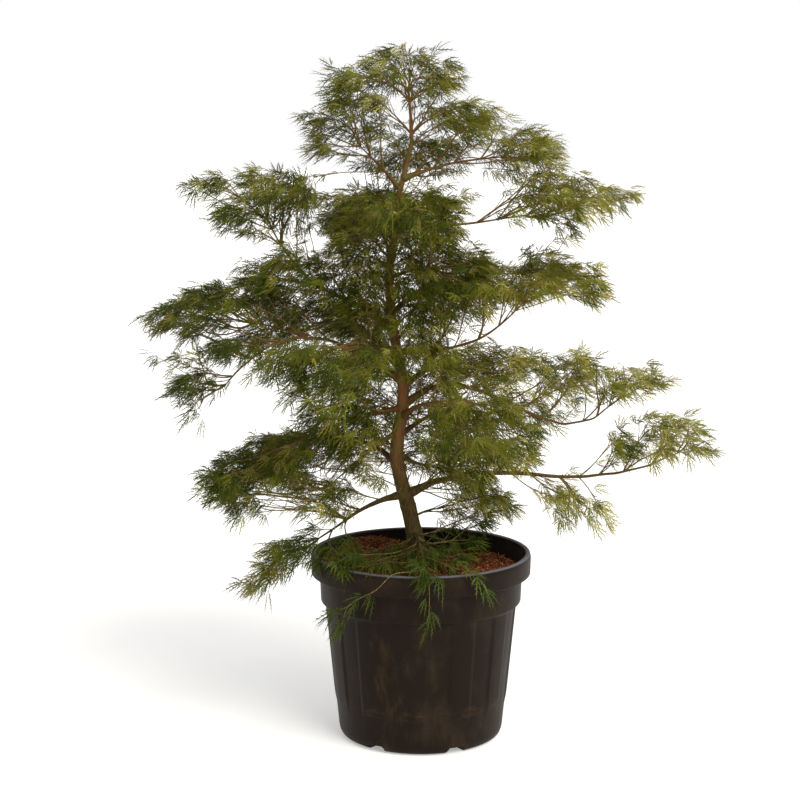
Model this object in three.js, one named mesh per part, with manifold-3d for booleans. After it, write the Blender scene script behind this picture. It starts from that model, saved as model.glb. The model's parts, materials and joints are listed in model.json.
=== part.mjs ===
// A laceleaf Japanese maple in a black nursery pot, in millimetres, +Z up.
// The origin is the middle of the pot's flat underside, and -Y is the plant's front.
// Headings are degrees seen from above: 0 is +X (right), 90 is +Y (back), 180 is left, -90 is front.

import * as THREE from 'three';
import { mergeVertices } from 'three/addons/utils/BufferGeometryUtils.js';
import Module from 'manifold-3d';

const wasm = await Module();
wasm.setup();

// ---------------------------------------------------------------- driving dimensions

const WELD = 1e-3; // corners nearer than this are one
const GAP = 0.3; // clearance that touching pieces keep
const CUT = 0.45; // how far a cutting tool stands off the piece that it makes room for

const POT = {
  height: 339,
  rimRadius: 200, // outside of the lip band, a 400 mm nursery pot
  mouthRadius: 190, // inner edge of the lip
  lipDepth: 39,
  lipEdge: 3, // how far the lip's top edge is eased inwards
  lipShoulder: 6, // and how far down that easing starts
  collarRadius: 184, // plain band under the lip
  collarFoot: 244,
  collarStep: 6, // height of the slope from the body out to the collar
  draft: 2, // how much narrower the collar is at its foot
  bodyRadius: 172, // ribbed body, under the collar
  footRadius: 148,
  toeRadius: 136, // the circle that it stands on
  toeRise: 4, // the rounded toe, in two slopes
  heelRise: 14,
  wall: 4,
  floor: 4,
  hollowRise: 18, // height where the hollow reaches its full width
  facets: 30,
};

const RIB = { count: 12, spread: 15, proud: 2, foot: 60, fade: 16, sink: 1, heading: -34.5 };

// The drain channels under the pot, which lift its edge off the ground, and the hole in each.
const CHANNEL = { count: 6, width: 32, height: 12, inner: 105, heading: -64.4, holeRadius: 7, holeAt: 124 };

// The soil's height at the wall and at the trunk, and the radii between which it slopes.
const SOIL = { edge: 300, ground: 314, patch: 52, mound: 125, rings: [150, 116, 84, 54] };

// A heap of soil against the wall, and the lumps all over.
const HEAP = { x: -130, y: 40, height: 17, width: 70, depth: 80 };
const LUMPS = { height: 2.4, spacing: [21, 17], shift: 0.6 };

// The trunk's line: how far right, how far back and how high it is at each of its bends.
const TRUNK = {
  bends: [
    [-4, 0, 290],
    [-8, 0, 350],
    [-24, 2, 425],
    [-45, 4, 515],
    [-31, 0, 625],
    [-52, -3, 755],
    [-57, 2, 840],
    [-43, 5, 940],
    [-36, 3, 1002],
    [-18, 0, 1070],
    [-23, 2, 1165],
  ],
  radius: 17,
  tipRadius: 2.4,
  flare: 7, // how much wider the root flare is than the stem
  flareHeight: 22,
  buttresses: 5,
  buttressShare: 0.3, // how much the flare swells and shrinks between buttresses
  sides: 8,
  steps: 20,
};

const LIMB = { sides: 5, stepLength: 54, collar: 0.45, collarLength: 14 };

const MASS = { around: 8, along: 6, uneven: 0.17 };

// Each bough: the limb it grows from and where (a height on the trunk, a share of another bough),
// the way it heads, how far out and up its tip lies, how high its two bends stand over the straight
// line, and its radius at root and tip.
const BOUGHS = {
  right_low: {
    from: 'trunk', at: 441, heading: -9,
    reach: 483, rise: 94, bends: [73, -81], radius: [6.8, 3.2],
  },
  right_under: {
    from: 'trunk', at: 517, heading: 12,
    reach: 104, rise: -34, bends: [-14, -8], radius: [4.2, 3],
  },
  right_mid: {
    from: 'trunk', at: 608, heading: 11,
    reach: 398, rise: -6, bends: [128, -136], radius: [5.6, 3],
  },
  right_mid_inner: {
    from: 'trunk', at: 640, heading: 14,
    reach: 142, rise: 66, bends: [22, 16], radius: [4.4, 3],
  },
  right_upper: {
    from: 'trunk', at: 702, heading: -12,
    reach: 226, rise: 94, bends: [-20, -66], radius: [4.4, 2.8],
  },
  right_thin: {
    from: 'trunk', at: 834, heading: -28,
    reach: 76, rise: 20, bends: [8, 4], radius: [3.2, 2.4],
  },
  right_shoulder: {
    from: 'trunk', at: 936, heading: -6,
    reach: 224, rise: 10, bends: [-14, -10], radius: [4.2, 2.6],
  },
  right_top: {
    from: 'trunk', at: 1012, heading: 14,
    reach: 192, rise: 38, bends: [10, 6], radius: [3.8, 2.4],
  },
  left_low: {
    from: 'trunk', at: 444, heading: 188,
    reach: 168, rise: -84, bends: [24, 2], radius: [6, 3.4],
  },
  left_under: {
    from: 'trunk', at: 560, heading: 190,
    reach: 118, rise: -92, bends: [14, -6], radius: [4, 2.8],
  },
  left_mid: {
    from: 'trunk', at: 602, heading: 190,
    reach: 178, rise: -46, bends: [18, -8], radius: [4.6, 3],
  },
  left_arch: {
    from: 'trunk', at: 648, heading: 187,
    reach: 322, rise: -4, bends: [92, 136], radius: [5, 2.8],
  },
  left_arch_fork: {
    from: 'left_arch', at: 0.52, heading: 162,
    reach: 112, rise: 24, bends: [6, 4], radius: [3.2, 2.2],
  },
  left_upper: {
    from: 'trunk', at: 742, heading: 173,
    reach: 228, rise: 204, bends: [20, -120], radius: [5.2, 2.8],
  },
  left_top: {
    from: 'trunk', at: 992, heading: 172,
    reach: 84, rise: 86, bends: [12, 2], radius: [3.4, 2.2],
  },
  front_left: {
    from: 'trunk', at: 672, heading: -118,
    reach: 240, rise: 74, bends: [26, 22], radius: [5, 2.8],
  },
  front_right: {
    from: 'trunk', at: 585, heading: -60,
    reach: 262, rise: 58, bends: [32, 18], radius: [5, 2.8],
  },
  front_low: {
    from: 'trunk', at: 374, heading: -84,
    reach: 182, rise: -22, bends: [6, 10], radius: [2.8, 2],
  },
  back_high: {
    from: 'trunk', at: 866, heading: 98,
    reach: 208, rise: 86, bends: [16, 8], radius: [4.4, 2.6],
  },
  back_right: {
    from: 'trunk', at: 772, heading: 56,
    reach: 262, rise: 62, bends: [22, 14], radius: [4.6, 2.6],
  },
  back_left: {
    from: 'trunk', at: 690, heading: 128,
    reach: 268, rise: 70, bends: [26, 18], radius: [4.8, 2.8],
  },
  back_low_right: {
    from: 'trunk', at: 548, heading: 50,
    reach: 268, rise: 34, bends: [30, 16], radius: [5, 2.8],
  },
  back_low_left: {
    from: 'trunk', at: 500, heading: 132,
    reach: 252, rise: 22, bends: [34, 20], radius: [5.2, 3],
  },
};

// Each mass: what carries it and where (as above, 1 is a bough's tip), the way it runs, how far it
// starts behind that point, its length, width and thickness, how high its root lies over the
// carrier, its rise, its droop, where along it (-1 to 1) it crests, and how much its sides hang.
const MASSES = {
  crown_top: {
    on: 'trunk', at: 1160, heading: 4, back: 130, size: [236, 190, 88],
    lift: 42, rise: -4, droop: 26, crest: 0.1, sag: 26,
  },
  top_left: {
    on: 'trunk', at: 1146, heading: 186, back: 12, size: [172, 136, 76],
    lift: 46, rise: -38, droop: 10, crest: 0, sag: 22,
  },
  second_left: {
    on: 'left_top', at: 1, heading: 176, back: 66, size: [170, 150, 70],
    lift: 26, rise: -30, droop: 8, crest: 0, sag: 24,
  },
  second_right: {
    on: 'trunk', at: 1076, heading: 6, back: 16, size: [188, 150, 76],
    lift: 34, rise: -8, droop: 14, crest: -0.2, sag: 26,
  },
  right_top: {
    on: 'right_top', at: 1, heading: -2, back: 60, size: [196, 176, 74],
    lift: 36, rise: -48, droop: 8, crest: 0, sag: 28,
  },
  right_shoulder: {
    on: 'right_shoulder', at: 1, heading: -8, back: 40, size: [222, 230, 86],
    lift: 42, rise: -26, droop: 14, crest: 0, sag: 30,
  },
  front_top: {
    on: 'trunk', at: 954, heading: -82, back: 1, size: [242, 238, 84],
    lift: 18, rise: -30, droop: 10, crest: -0.2, sag: 26,
  },
  left_upper: {
    on: 'left_upper', at: 1, heading: 172, back: 118, size: [262, 210, 92],
    lift: 52, rise: -40, droop: 18, crest: -0.4, sag: 24,
  },
  left_centre: {
    on: 'left_upper', at: 0.5, heading: 208, back: 70, size: [236, 180, 98],
    lift: 24, rise: -10, droop: 30, crest: -0.1, sag: 30,
  },
  left_outer: {
    on: 'left_arch_fork', at: 1, heading: 172, back: 74, size: [290, 250, 82],
    lift: 44, rise: -34, droop: 16, crest: -0.2, sag: 30,
  },
  left_arch_tip: {
    on: 'left_arch', at: 1, heading: 184, back: 16, size: [136, 130, 60],
    lift: 10, rise: -14, droop: 8, crest: 0, sag: 20,
  },
  left_arch_fan: {
    on: 'left_arch', at: 0.74, heading: 178, back: 40, size: [204, 160, 46],
    lift: 12, rise: -22, droop: 8, crest: 0, sag: 18,
  },
  left_mid_inner: {
    on: 'left_mid', at: 0.66, heading: 200, back: 96, size: [216, 170, 70],
    lift: 10, rise: -26, droop: 22, crest: 0, sag: 30,
  },
  left_mid: {
    on: 'left_mid', at: 1, heading: 186, back: 16, size: [228, 224, 80],
    lift: -2, rise: -84, droop: 12, crest: -0.4, sag: 30,
  },
  left_under: {
    on: 'left_under', at: 1, heading: 186, back: 64, size: [196, 160, 66],
    lift: -10, rise: -40, droop: 14, crest: 0, sag: 24,
  },
  left_skirt: {
    on: 'left_low', at: 1, heading: 184, back: 16, size: [168, 170, 60],
    lift: 14, rise: -92, droop: 10, crest: -0.6, sag: 18,
  },
  left_rim_spray: {
    on: 'left_low', at: 0.62, heading: 268, back: -52, size: [96, 70, 44],
    lift: -6, rise: -92, droop: 18, crest: -0.8, sag: 6,
  },
  front_spray: {
    on: 'front_low', at: 1, heading: -84, back: 14, size: [60, 204, 56],
    lift: 16, rise: -92, droop: 8, crest: -1, sag: 12,
  },
  right_under: {
    on: 'right_under', at: 1, heading: 6, back: 18, size: [178, 150, 66],
    lift: 0, rise: -66, droop: 18, crest: -0.4, sag: 30,
  },
  right_upper: {
    on: 'right_upper', at: 1, heading: -4, back: 44, size: [176, 206, 92],
    lift: 40, rise: 8, droop: 20, crest: 0, sag: 32,
  },
  centre_right: {
    on: 'right_thin', at: 1, heading: -10, back: 46, size: [206, 170, 86],
    lift: -16, rise: -36, droop: 16, crest: -0.2, sag: 34,
  },
  right_mid_inner: {
    on: 'right_mid_inner', at: 1, heading: 4, back: 92, size: [226, 190, 80],
    lift: -18, rise: -26, droop: 18, crest: 0, sag: 34,
  },
  right_mid_outer: {
    on: 'right_mid', at: 1, heading: 2, back: 178, size: [262, 236, 76],
    lift: 62, rise: -34, droop: 14, crest: -0.2, sag: 32,
  },
  right_low_inner: {
    on: 'right_low', at: 0.32, heading: 8, back: 122, size: [226, 180, 66],
    lift: 40, rise: -14, droop: 14, crest: 0, sag: 26,
  },
  right_low_outer: {
    on: 'right_low', at: 1, heading: -6, back: 146, size: [240, 236, 72],
    lift: 28, rise: 6, droop: 18, crest: 0, sag: 34,
  },
  right_low_spray: {
    on: 'right_low', at: 0.62, heading: -24, back: 50, size: [120, 110, 54],
    lift: -14, rise: -44, droop: 8, crest: 0, sag: 14,
  },
  front_left: {
    on: 'front_left', at: 1, heading: -124, back: 90, size: [232, 230, 80],
    lift: -6, rise: -66, droop: 16, crest: -0.3, sag: 32,
  },
  front_right: {
    on: 'front_right', at: 1, heading: -56, back: 84, size: [228, 210, 76],
    lift: 2, rise: -60, droop: 14, crest: -0.3, sag: 30,
  },
  back_top: {
    on: 'trunk', at: 1030, heading: 66, back: 16, size: [224, 190, 76],
    lift: 34, rise: -40, droop: 12, crest: -0.2, sag: 28,
  },
  back_high: {
    on: 'back_high', at: 1, heading: 100, back: 84, size: [236, 260, 84],
    lift: 10, rise: -56, droop: 16, crest: -0.3, sag: 34,
  },
  back_right: {
    on: 'back_right', at: 1, heading: 54, back: 86, size: [240, 240, 82],
    lift: 8, rise: -64, droop: 16, crest: -0.3, sag: 34,
  },
  back_left: {
    on: 'back_left', at: 1, heading: 126, back: 86, size: [244, 240, 82],
    lift: 6, rise: -70, droop: 16, crest: -0.3, sag: 34,
  },
  back_low_right: {
    on: 'back_low_right', at: 1, heading: 48, back: 88, size: [236, 230, 76],
    lift: -4, rise: -84, droop: 14, crest: -0.3, sag: 32,
  },
  back_low_left: {
    on: 'back_low_left', at: 1, heading: 134, back: 84, size: [228, 230, 74],
    lift: 12, rise: -92, droop: 14, crest: -0.3, sag: 32,
  },
};

// ---------------------------------------------------------------- finishes

const FINISH = {
  pot: { color: 0x23201d, roughness: 0.55, metalness: 0 },
  root_ball: { color: 0x5d3c28, roughness: 0.95, metalness: 0 },
  bark: { color: 0x6e5138, roughness: 0.85, metalness: 0 },
  foliage: { color: 0x4c6b2c, roughness: 0.6, metalness: 0 },
};

// ---------------------------------------------------------------- solids

// A closed geometry as a solid, with its seam welded and its faces pointing out.
function solidOf(geometry) {
  const bare = geometry.clone();
  bare.deleteAttribute('normal');
  bare.deleteAttribute('uv');
  const welded = mergeVertices(bare, WELD);
  const index = welded.index.array;
  const corners = [];
  for (let i = 0; i < index.length; i += 3) {
    const [a, b, c] = index.slice(i, i + 3);
    if (a !== b && b !== c && c !== a) corners.push(a, b, c);
  }
  const vertProperties = Float32Array.from(welded.attributes.position.array);
  const outward = new wasm.Manifold(
    new wasm.Mesh({ numProp: 3, vertProperties, triVerts: Uint32Array.from(corners) }),
  );
  if (outward.volume() > 0) return outward;
  return new wasm.Manifold(
    new wasm.Mesh({ numProp: 3, vertProperties, triVerts: Uint32Array.from(corners.reverse()) }),
  );
}

function geometryOf(solid) {
  const mesh = solid.getMesh();
  const geometry = new THREE.BufferGeometry();
  geometry.setAttribute('position', new THREE.BufferAttribute(Float32Array.from(mesh.vertProperties), 3));
  geometry.setIndex(Array.from(mesh.triVerts));
  geometry.computeVertexNormals();
  return geometry;
}

// The largest body that a cut leaves; crumbs of it are dropped.
function largestBody(solid) {
  const bodies = solid.decompose();
  return bodies.reduce((kept, body) => (body.volume() > kept.volume() ? body : kept));
}

// Moves every corner of a geometry to the place that a function gives for it.
function reshape(geometry, place) {
  const position = geometry.attributes.position;
  const corner = new THREE.Vector3();
  for (let i = 0; i < position.count; i += 1) {
    corner.fromBufferAttribute(position, i);
    const moved = place(corner);
    position.setXYZ(i, moved.x, moved.y, moved.z);
  }
  return geometry;
}

const radians = THREE.MathUtils.degToRad;

function headingVector(degrees) {
  return new THREE.Vector3(Math.cos(radians(degrees)), Math.sin(radians(degrees)), 0);
}

// A solid turned about Z from a profile of [radius, height] points.
function turned(profile) {
  const points = profile.map(([radius, height]) => new THREE.Vector2(radius, height));
  return solidOf(new THREE.LatheGeometry(points, POT.facets).rotateX(Math.PI / 2));
}

// ---------------------------------------------------------------- pot

// Radius of the ribbed body's outside at a height.
function bodyRadiusAt(height) {
  const share = height / POT.collarFoot;
  return THREE.MathUtils.lerp(POT.footRadius, POT.bodyRadius, share);
}

// The pot's outside, filled, standing proud by grow.
function potOutside(grow = 0) {
  const lipFoot = POT.height - POT.lipDepth;
  return turned([
    [0, -grow],
    [POT.toeRadius + grow, -grow],
    [bodyRadiusAt(POT.toeRise) - POT.lipEdge + grow, POT.toeRise - grow],
    [bodyRadiusAt(POT.heelRise) + grow, POT.heelRise - grow],
    [POT.bodyRadius + grow, POT.collarFoot - grow],
    [POT.collarRadius - POT.draft + grow, POT.collarFoot + POT.collarStep - grow],
    [POT.collarRadius + grow, lipFoot - grow],
    [POT.rimRadius - POT.draft / 2 + grow, lipFoot - grow],
    [POT.rimRadius + grow, POT.height - POT.lipShoulder],
    [POT.rimRadius - POT.lipEdge + grow, POT.height + grow],
    [0, POT.height + grow],
  ]);
}

// The pot's hollow, standing shrink inside the wall's inner face.
function potHollow(shrink = 0) {
  const lipFoot = POT.height - POT.lipDepth;
  const inner = (radius) => radius - POT.wall - shrink;
  return turned([
    [0, POT.floor + shrink],
    [inner(bodyRadiusAt(POT.toeRise) - POT.wall), POT.floor + shrink],
    [inner(bodyRadiusAt(POT.hollowRise)), POT.hollowRise],
    [inner(POT.bodyRadius), POT.collarFoot + POT.draft],
    [inner(POT.collarRadius - POT.draft), POT.collarFoot + POT.draft + POT.collarStep],
    [inner(POT.collarRadius), lipFoot],
    [POT.mouthRadius - POT.draft / 2 - shrink, POT.height - POT.lipShoulder],
    [POT.mouthRadius - shrink, POT.height + POT.wall],
    [0, POT.height + POT.wall],
  ]);
}

// Upright ribs round the body, which fade out near the foot.
function potRibs() {
  const shape = new THREE.Shape();
  const reach = POT.rimRadius;
  const halfWidth = reach * Math.tan(radians(RIB.spread / 2));
  shape.moveTo(0, 0);
  shape.lineTo(reach, -halfWidth);
  shape.lineTo(reach, halfWidth);
  shape.closePath();
  const top = POT.collarFoot + POT.collarStep / 2;
  const band = turned([
    [bodyRadiusAt(RIB.foot) - RIB.sink, RIB.foot],
    [bodyRadiusAt(RIB.foot + RIB.fade) + RIB.proud, RIB.foot + RIB.fade],
    [POT.bodyRadius + RIB.proud, top],
    [POT.bodyRadius - RIB.sink, top],
    [bodyRadiusAt(RIB.foot) - RIB.sink, RIB.foot],
  ]);
  const wedges = [];
  for (let i = 0; i < RIB.count; i += 1) {
    const wedge = new THREE.ExtrudeGeometry(shape, { depth: POT.height, bevelEnabled: false });
    wedge.rotateZ(radians(RIB.heading + (360 / RIB.count) * i));
    wedges.push(solidOf(wedge));
  }
  return band.intersect(wasm.Manifold.union(wedges));
}

// Bars from just under the pot up to a height, one along each drain channel.
function channelBars(width, height, inner, outer) {
  const below = POT.wall;
  const bars = [];
  for (let i = 0; i < CHANNEL.count; i += 1) {
    const bar = new THREE.BoxGeometry(outer - inner, width, height + below);
    bar.translate((outer + inner) / 2, 0, (height - below) / 2);
    bar.rotateZ(radians(CHANNEL.heading + (360 / CHANNEL.count) * i));
    bars.push(solidOf(bar));
  }
  return wasm.Manifold.union(bars);
}

// The raised roofs of the drain channels inside the pot.
function channelRoofs(grow = 0) {
  const width = CHANNEL.width + 2 * POT.wall + 2 * grow;
  const height = CHANNEL.height + POT.wall + grow;
  return channelBars(width, height, CHANNEL.inner - POT.wall - grow, POT.bodyRadius);
}

function drainHoles() {
  const holes = [];
  const { holeRadius } = CHANNEL;
  const sides = 10;
  for (let i = 0; i < CHANNEL.count; i += 1) {
    const hole = new THREE.CylinderGeometry(holeRadius, holeRadius, 4 * CHANNEL.height, sides);
    hole.rotateX(Math.PI / 2);
    hole.translate(CHANNEL.holeAt, 0, 0);
    hole.rotateZ(radians(CHANNEL.heading + (360 / CHANNEL.count) * i));
    holes.push(solidOf(hole));
  }
  return wasm.Manifold.union(holes);
}

function pot() {
  const outside = potOutside();
  const roofs = channelRoofs().intersect(outside);
  const channels = channelBars(CHANNEL.width, CHANNEL.height, CHANNEL.inner, POT.rimRadius);
  const shell = outside.subtract(potHollow()).add(roofs).add(potRibs());
  return shell.subtract(channels).subtract(drainHoles());
}

// The space that the pot's wall fills, with room around it.
function potKeepOut() {
  return potOutside(CUT).subtract(potHollow(CUT));
}

// ---------------------------------------------------------------- root ball

// Height of the soil: level at the wall, mounded at the trunk, heaped towards the back left.
function soilHeight(x, y) {
  const fromTrunk = Math.hypot(x - TRUNK.bends[0][0], y);
  const mounded = 1 - THREE.MathUtils.smoothstep(fromTrunk, SOIL.patch, SOIL.mound);
  const open = 1 - mounded;
  const heap = HEAP.height * Math.exp(-(((x - HEAP.x) / HEAP.width) ** 2) - ((y - HEAP.y) / HEAP.depth) ** 2);
  const ripple = Math.sin(x / LUMPS.spacing[0] + LUMPS.shift) * Math.cos(y / LUMPS.spacing[1]);
  const lumps = LUMPS.height * (1 + ripple);
  return SOIL.edge + (SOIL.ground - GAP - SOIL.edge) * mounded + open * (heap + lumps);
}

function rootBall(grow = 0) {
  const surface = turned([
    [0, 0],
    [POT.rimRadius, 0],
    [POT.rimRadius, SOIL.edge],
    ...SOIL.rings.map((radius) => [radius, SOIL.edge]),
    [0, SOIL.edge],
  ]);
  const heaped = surface.warp((corner) => {
    if (corner[2] > SOIL.edge / 2) corner[2] = soilHeight(corner[0], corner[1]) + grow;
  });
  return heaped.intersect(potHollow(GAP)).subtract(channelRoofs(GAP));
}

// ---------------------------------------------------------------- limbs

const trunkCurve = new THREE.CatmullRomCurve3(TRUNK.bends.map((bend) => new THREE.Vector3(...bend)));

// A tapering limb along a curve: a closed cylinder whose rings are laid on the curve's frames.
function limbSolid(curve, sides, steps, radiusAt) {
  const frames = curve.computeFrenetFrames(steps, false);
  const straight = new THREE.CylinderGeometry(1, 1, 1, sides, steps);
  const bent = reshape(straight, (corner) => {
    const share = 0.5 + corner.y;
    const ring = Math.round(share * steps);
    const radius = radiusAt(share, Math.atan2(corner.z, corner.x));
    return curve
      .getPointAt(share)
      .addScaledVector(frames.normals[ring], corner.x * radius)
      .addScaledVector(frames.binormals[ring], corner.z * radius);
  });
  return solidOf(bent);
}

// The trunk with its root flare, cut flat where it stands on the soil.
function trunk(grow = 0) {
  const length = trunkCurve.getLength();
  const stem = limbSolid(trunkCurve, TRUNK.sides, TRUNK.steps, (share, turn) => {
    const aboveGround = share * length - (SOIL.ground - TRUNK.bends[0][2]);
    const flare = TRUNK.flare * Math.exp(-Math.max(aboveGround, 0) / TRUNK.flareHeight);
    const lobed = flare * (1 + TRUNK.buttressShare * Math.cos(TRUNK.buttresses * turn));
    return THREE.MathUtils.lerp(TRUNK.radius, TRUNK.tipRadius, share) + lobed + grow;
  });
  const depth = POT.height;
  const below = new THREE.BoxGeometry(depth, depth, depth).translate(0, 0, SOIL.ground - depth / 2 - grow);
  return stem.subtract(solidOf(below));
}

// The point of the trunk's line at a height, found by halving.
function trunkPointAt(height) {
  const halvings = 30;
  let low = 0;
  let high = 1;
  for (let i = 0; i < halvings; i += 1) {
    const middle = (low + high) / 2;
    if (trunkCurve.getPointAt(middle).z < height) low = middle;
    else high = middle;
  }
  return trunkCurve.getPointAt(low);
}

function carrierPoint(carrier, at) {
  return carrier === 'trunk' ? trunkPointAt(at) : boughCurve(carrier).getPointAt(at);
}

function boughCurve(name) {
  const { from, at, heading, reach, rise, bends } = BOUGHS[name];
  const root = carrierPoint(from, at);
  const out = headingVector(heading);
  const along = (share, lift) => root.clone().addScaledVector(out, reach * share).add(
    new THREE.Vector3(0, 0, rise * share + lift),
  );
  return new THREE.CubicBezierCurve3(root, along(1 / 3, bends[0]), along(2 / 3, bends[1]), along(1, 0));
}

// A bough from inside its carrier to its tip, with the swollen collar that it grows from.
function boughLimb(name, grow = 0) {
  const curve = boughCurve(name);
  const length = curve.getLength();
  const [thick, thin] = BOUGHS[name].radius;
  const steps = Math.max(3, Math.round(length / LIMB.stepLength));
  return limbSolid(curve, LIMB.sides, steps, (share) => {
    const collar = 1 + LIMB.collar * Math.exp((-share * length) / LIMB.collarLength);
    return THREE.MathUtils.lerp(thick, thin, share) * collar + grow;
  });
}

// ---------------------------------------------------------------- foliage

// A number between -1 and 1 that wanders over a ball, in a way of its own for each phase.
function wander(point, phase) {
  const slow = Math.sin(3.1 * point.x + phase) + Math.sin(2.7 * point.y + 2.3 * phase);
  const quick = Math.sin(5.3 * point.z + 4.1 * point.y + 3.7 * phase);
  return (slow + quick) / 3;
}

// A drooping, uneven pad of foliage, made by laying a ball out along its heading.
function massSolid(name, grow = 0) {
  const { on, at, heading, back, size, lift, rise, droop, crest, sag } = MASSES[name];
  const [length, width, thickness] = size;
  const carrier = carrierPoint(on, at);
  const out = headingVector(heading);
  const aside = headingVector(heading + 90);
  const phase = Object.keys(MASSES).indexOf(name) * 1.9;
  const ball = new THREE.SphereGeometry(1, MASS.around, MASS.along).rotateX(Math.PI / 2).rotateZ(Math.PI / 2);
  const pad = reshape(ball, (corner) => {
    const swell = 1 + MASS.uneven * wander(corner, phase);
    const along = corner.x * swell;
    const side = corner.y * swell;
    const forward = (length * (1 + along)) / 2 - back + grow * corner.x;
    const sideways = (width * side) / 2 + grow * corner.y;
    const hang = droop * (along - crest) ** 2 + sag * side ** 2;
    const spine = lift + (rise * (1 + along)) / 2 - hang;
    const height = spine + (thickness * corner.z * swell) / 2 + grow * corner.z;
    return carrier
      .clone()
      .addScaledVector(out, forward)
      .addScaledVector(aside, sideways)
      .add(new THREE.Vector3(0, 0, height));
  });
  return solidOf(pad);
}

// ---------------------------------------------------------------- assembly

// A bough trimmed off its carrier and off each mass that it ends in, standing proud by grow.
function trimmedBough(name, grow = 0) {
  const { from } = BOUGHS[name];
  const carrier = from === 'trunk' ? trunk(CUT) : boughLimb(from, CUT);
  let limb = boughLimb(name, grow).subtract(carrier);
  for (const [massName, mass] of Object.entries(MASSES)) {
    if (mass.on === name && mass.at === 1) limb = limb.subtract(massSolid(massName, CUT));
  }
  return largestBody(limb);
}

const maple = new THREE.Group();

function place(name, solid, finish) {
  const mesh = new THREE.Mesh(geometryOf(solid), new THREE.MeshStandardMaterial(finish));
  mesh.name = name;
  maple.add(mesh);
}

place('pot', pot(), FINISH.pot);
place('root_ball', rootBall(), FINISH.root_ball);
place('trunk', trunk(), FINISH.bark);

for (const name of Object.keys(BOUGHS)) {
  place(`bough_${name}`, trimmedBough(name), FINISH.bark);
}

const limbTools = Object.keys(BOUGHS).map((name) => trimmedBough(name, CUT));
const woodAndPot = wasm.Manifold.union([trunk(CUT), potKeepOut(), rootBall(CUT), ...limbTools]);
const earlier = [];
const atTipsFirst = Object.keys(MASSES).sort((a, b) => (MASSES[b].at === 1) - (MASSES[a].at === 1));
for (const name of atTipsFirst) {
  const free = massSolid(name).subtract(wasm.Manifold.union([woodAndPot, ...earlier]));
  place(`mass_${name}`, largestBody(free), FINISH.foliage);
  earlier.push(massSolid(name, CUT));
}

export default maple;
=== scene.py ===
import json
import math
from functools import lru_cache

import bpy
import numpy as np
from bpy.props import FloatProperty, FloatVectorProperty, IntProperty, PointerProperty
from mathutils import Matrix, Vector
from mathutils.bvhtree import BVHTree

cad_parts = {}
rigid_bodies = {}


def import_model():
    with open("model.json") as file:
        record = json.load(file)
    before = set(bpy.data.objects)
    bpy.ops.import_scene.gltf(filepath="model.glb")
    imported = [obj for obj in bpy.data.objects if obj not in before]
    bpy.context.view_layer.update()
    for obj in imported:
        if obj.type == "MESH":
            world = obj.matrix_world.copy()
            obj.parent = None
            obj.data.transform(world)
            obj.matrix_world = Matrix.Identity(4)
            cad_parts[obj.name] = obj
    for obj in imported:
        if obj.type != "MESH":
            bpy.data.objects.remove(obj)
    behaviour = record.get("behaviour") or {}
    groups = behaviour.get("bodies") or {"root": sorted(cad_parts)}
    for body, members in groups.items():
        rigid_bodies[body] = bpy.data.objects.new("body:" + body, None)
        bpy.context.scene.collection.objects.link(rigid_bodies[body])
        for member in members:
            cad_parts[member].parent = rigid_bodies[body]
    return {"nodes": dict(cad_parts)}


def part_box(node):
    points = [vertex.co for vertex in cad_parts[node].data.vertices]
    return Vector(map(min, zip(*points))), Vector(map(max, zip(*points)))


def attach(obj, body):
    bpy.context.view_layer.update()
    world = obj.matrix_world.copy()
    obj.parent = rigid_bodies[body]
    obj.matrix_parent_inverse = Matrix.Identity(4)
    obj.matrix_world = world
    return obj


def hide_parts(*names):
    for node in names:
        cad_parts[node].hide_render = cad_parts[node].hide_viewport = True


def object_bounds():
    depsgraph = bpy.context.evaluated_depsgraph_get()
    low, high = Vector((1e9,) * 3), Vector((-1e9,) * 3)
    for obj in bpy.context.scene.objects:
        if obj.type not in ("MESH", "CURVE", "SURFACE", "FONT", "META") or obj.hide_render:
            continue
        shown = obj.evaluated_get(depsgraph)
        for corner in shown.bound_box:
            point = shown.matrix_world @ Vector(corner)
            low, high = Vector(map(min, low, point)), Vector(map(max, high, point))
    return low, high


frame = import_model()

bl_info = {
    "name": "Potted laceleaf maple",
    "version": (1, 0, 0),
    "blender": (4, 5, 0),
    "location": "View3D > Sidebar > Maple",
    "description": "Grows a laceleaf maple in a black nursery pot around its packed solids",
    "category": "Add Mesh",
}

MM = 0.001
UP = np.array([0.0, 0.0, 1.0])
BODY = "root"
WOOD = [name for name in sorted(frame["nodes"]) if name.startswith("bough_")]
MASSES = [name for name in sorted(frame["nodes"]) if name.startswith("mass_")]
CAD_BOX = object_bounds()


# ---------------------------------------------------------------- settings


def linear(hexcode):
    """An sRGB hex colour as linear red, green and blue."""
    parts = [int(hexcode[i:i + 2], 16) / 255 for i in (1, 3, 5)]
    return tuple(c / 12.92 if c <= 0.04045 else ((c + 0.055) / 1.055) ** 2.4 for c in parts)


def colour(name, description, hexcode):
    """A colour setting."""
    return FloatVectorProperty(
        name=name, description=description, subtype="COLOR", size=3, min=0, max=1, default=linear(hexcode)
    )


def length(name, description, millimetres):
    """A length setting, given in millimetres and kept in metres."""
    return FloatProperty(
        name=name, description=description, unit="LENGTH", default=millimetres * MM, precision=4
    )


def share(name, description, default):
    """A setting without a unit."""
    return FloatProperty(name=name, description=description, default=default, precision=3)


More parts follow.
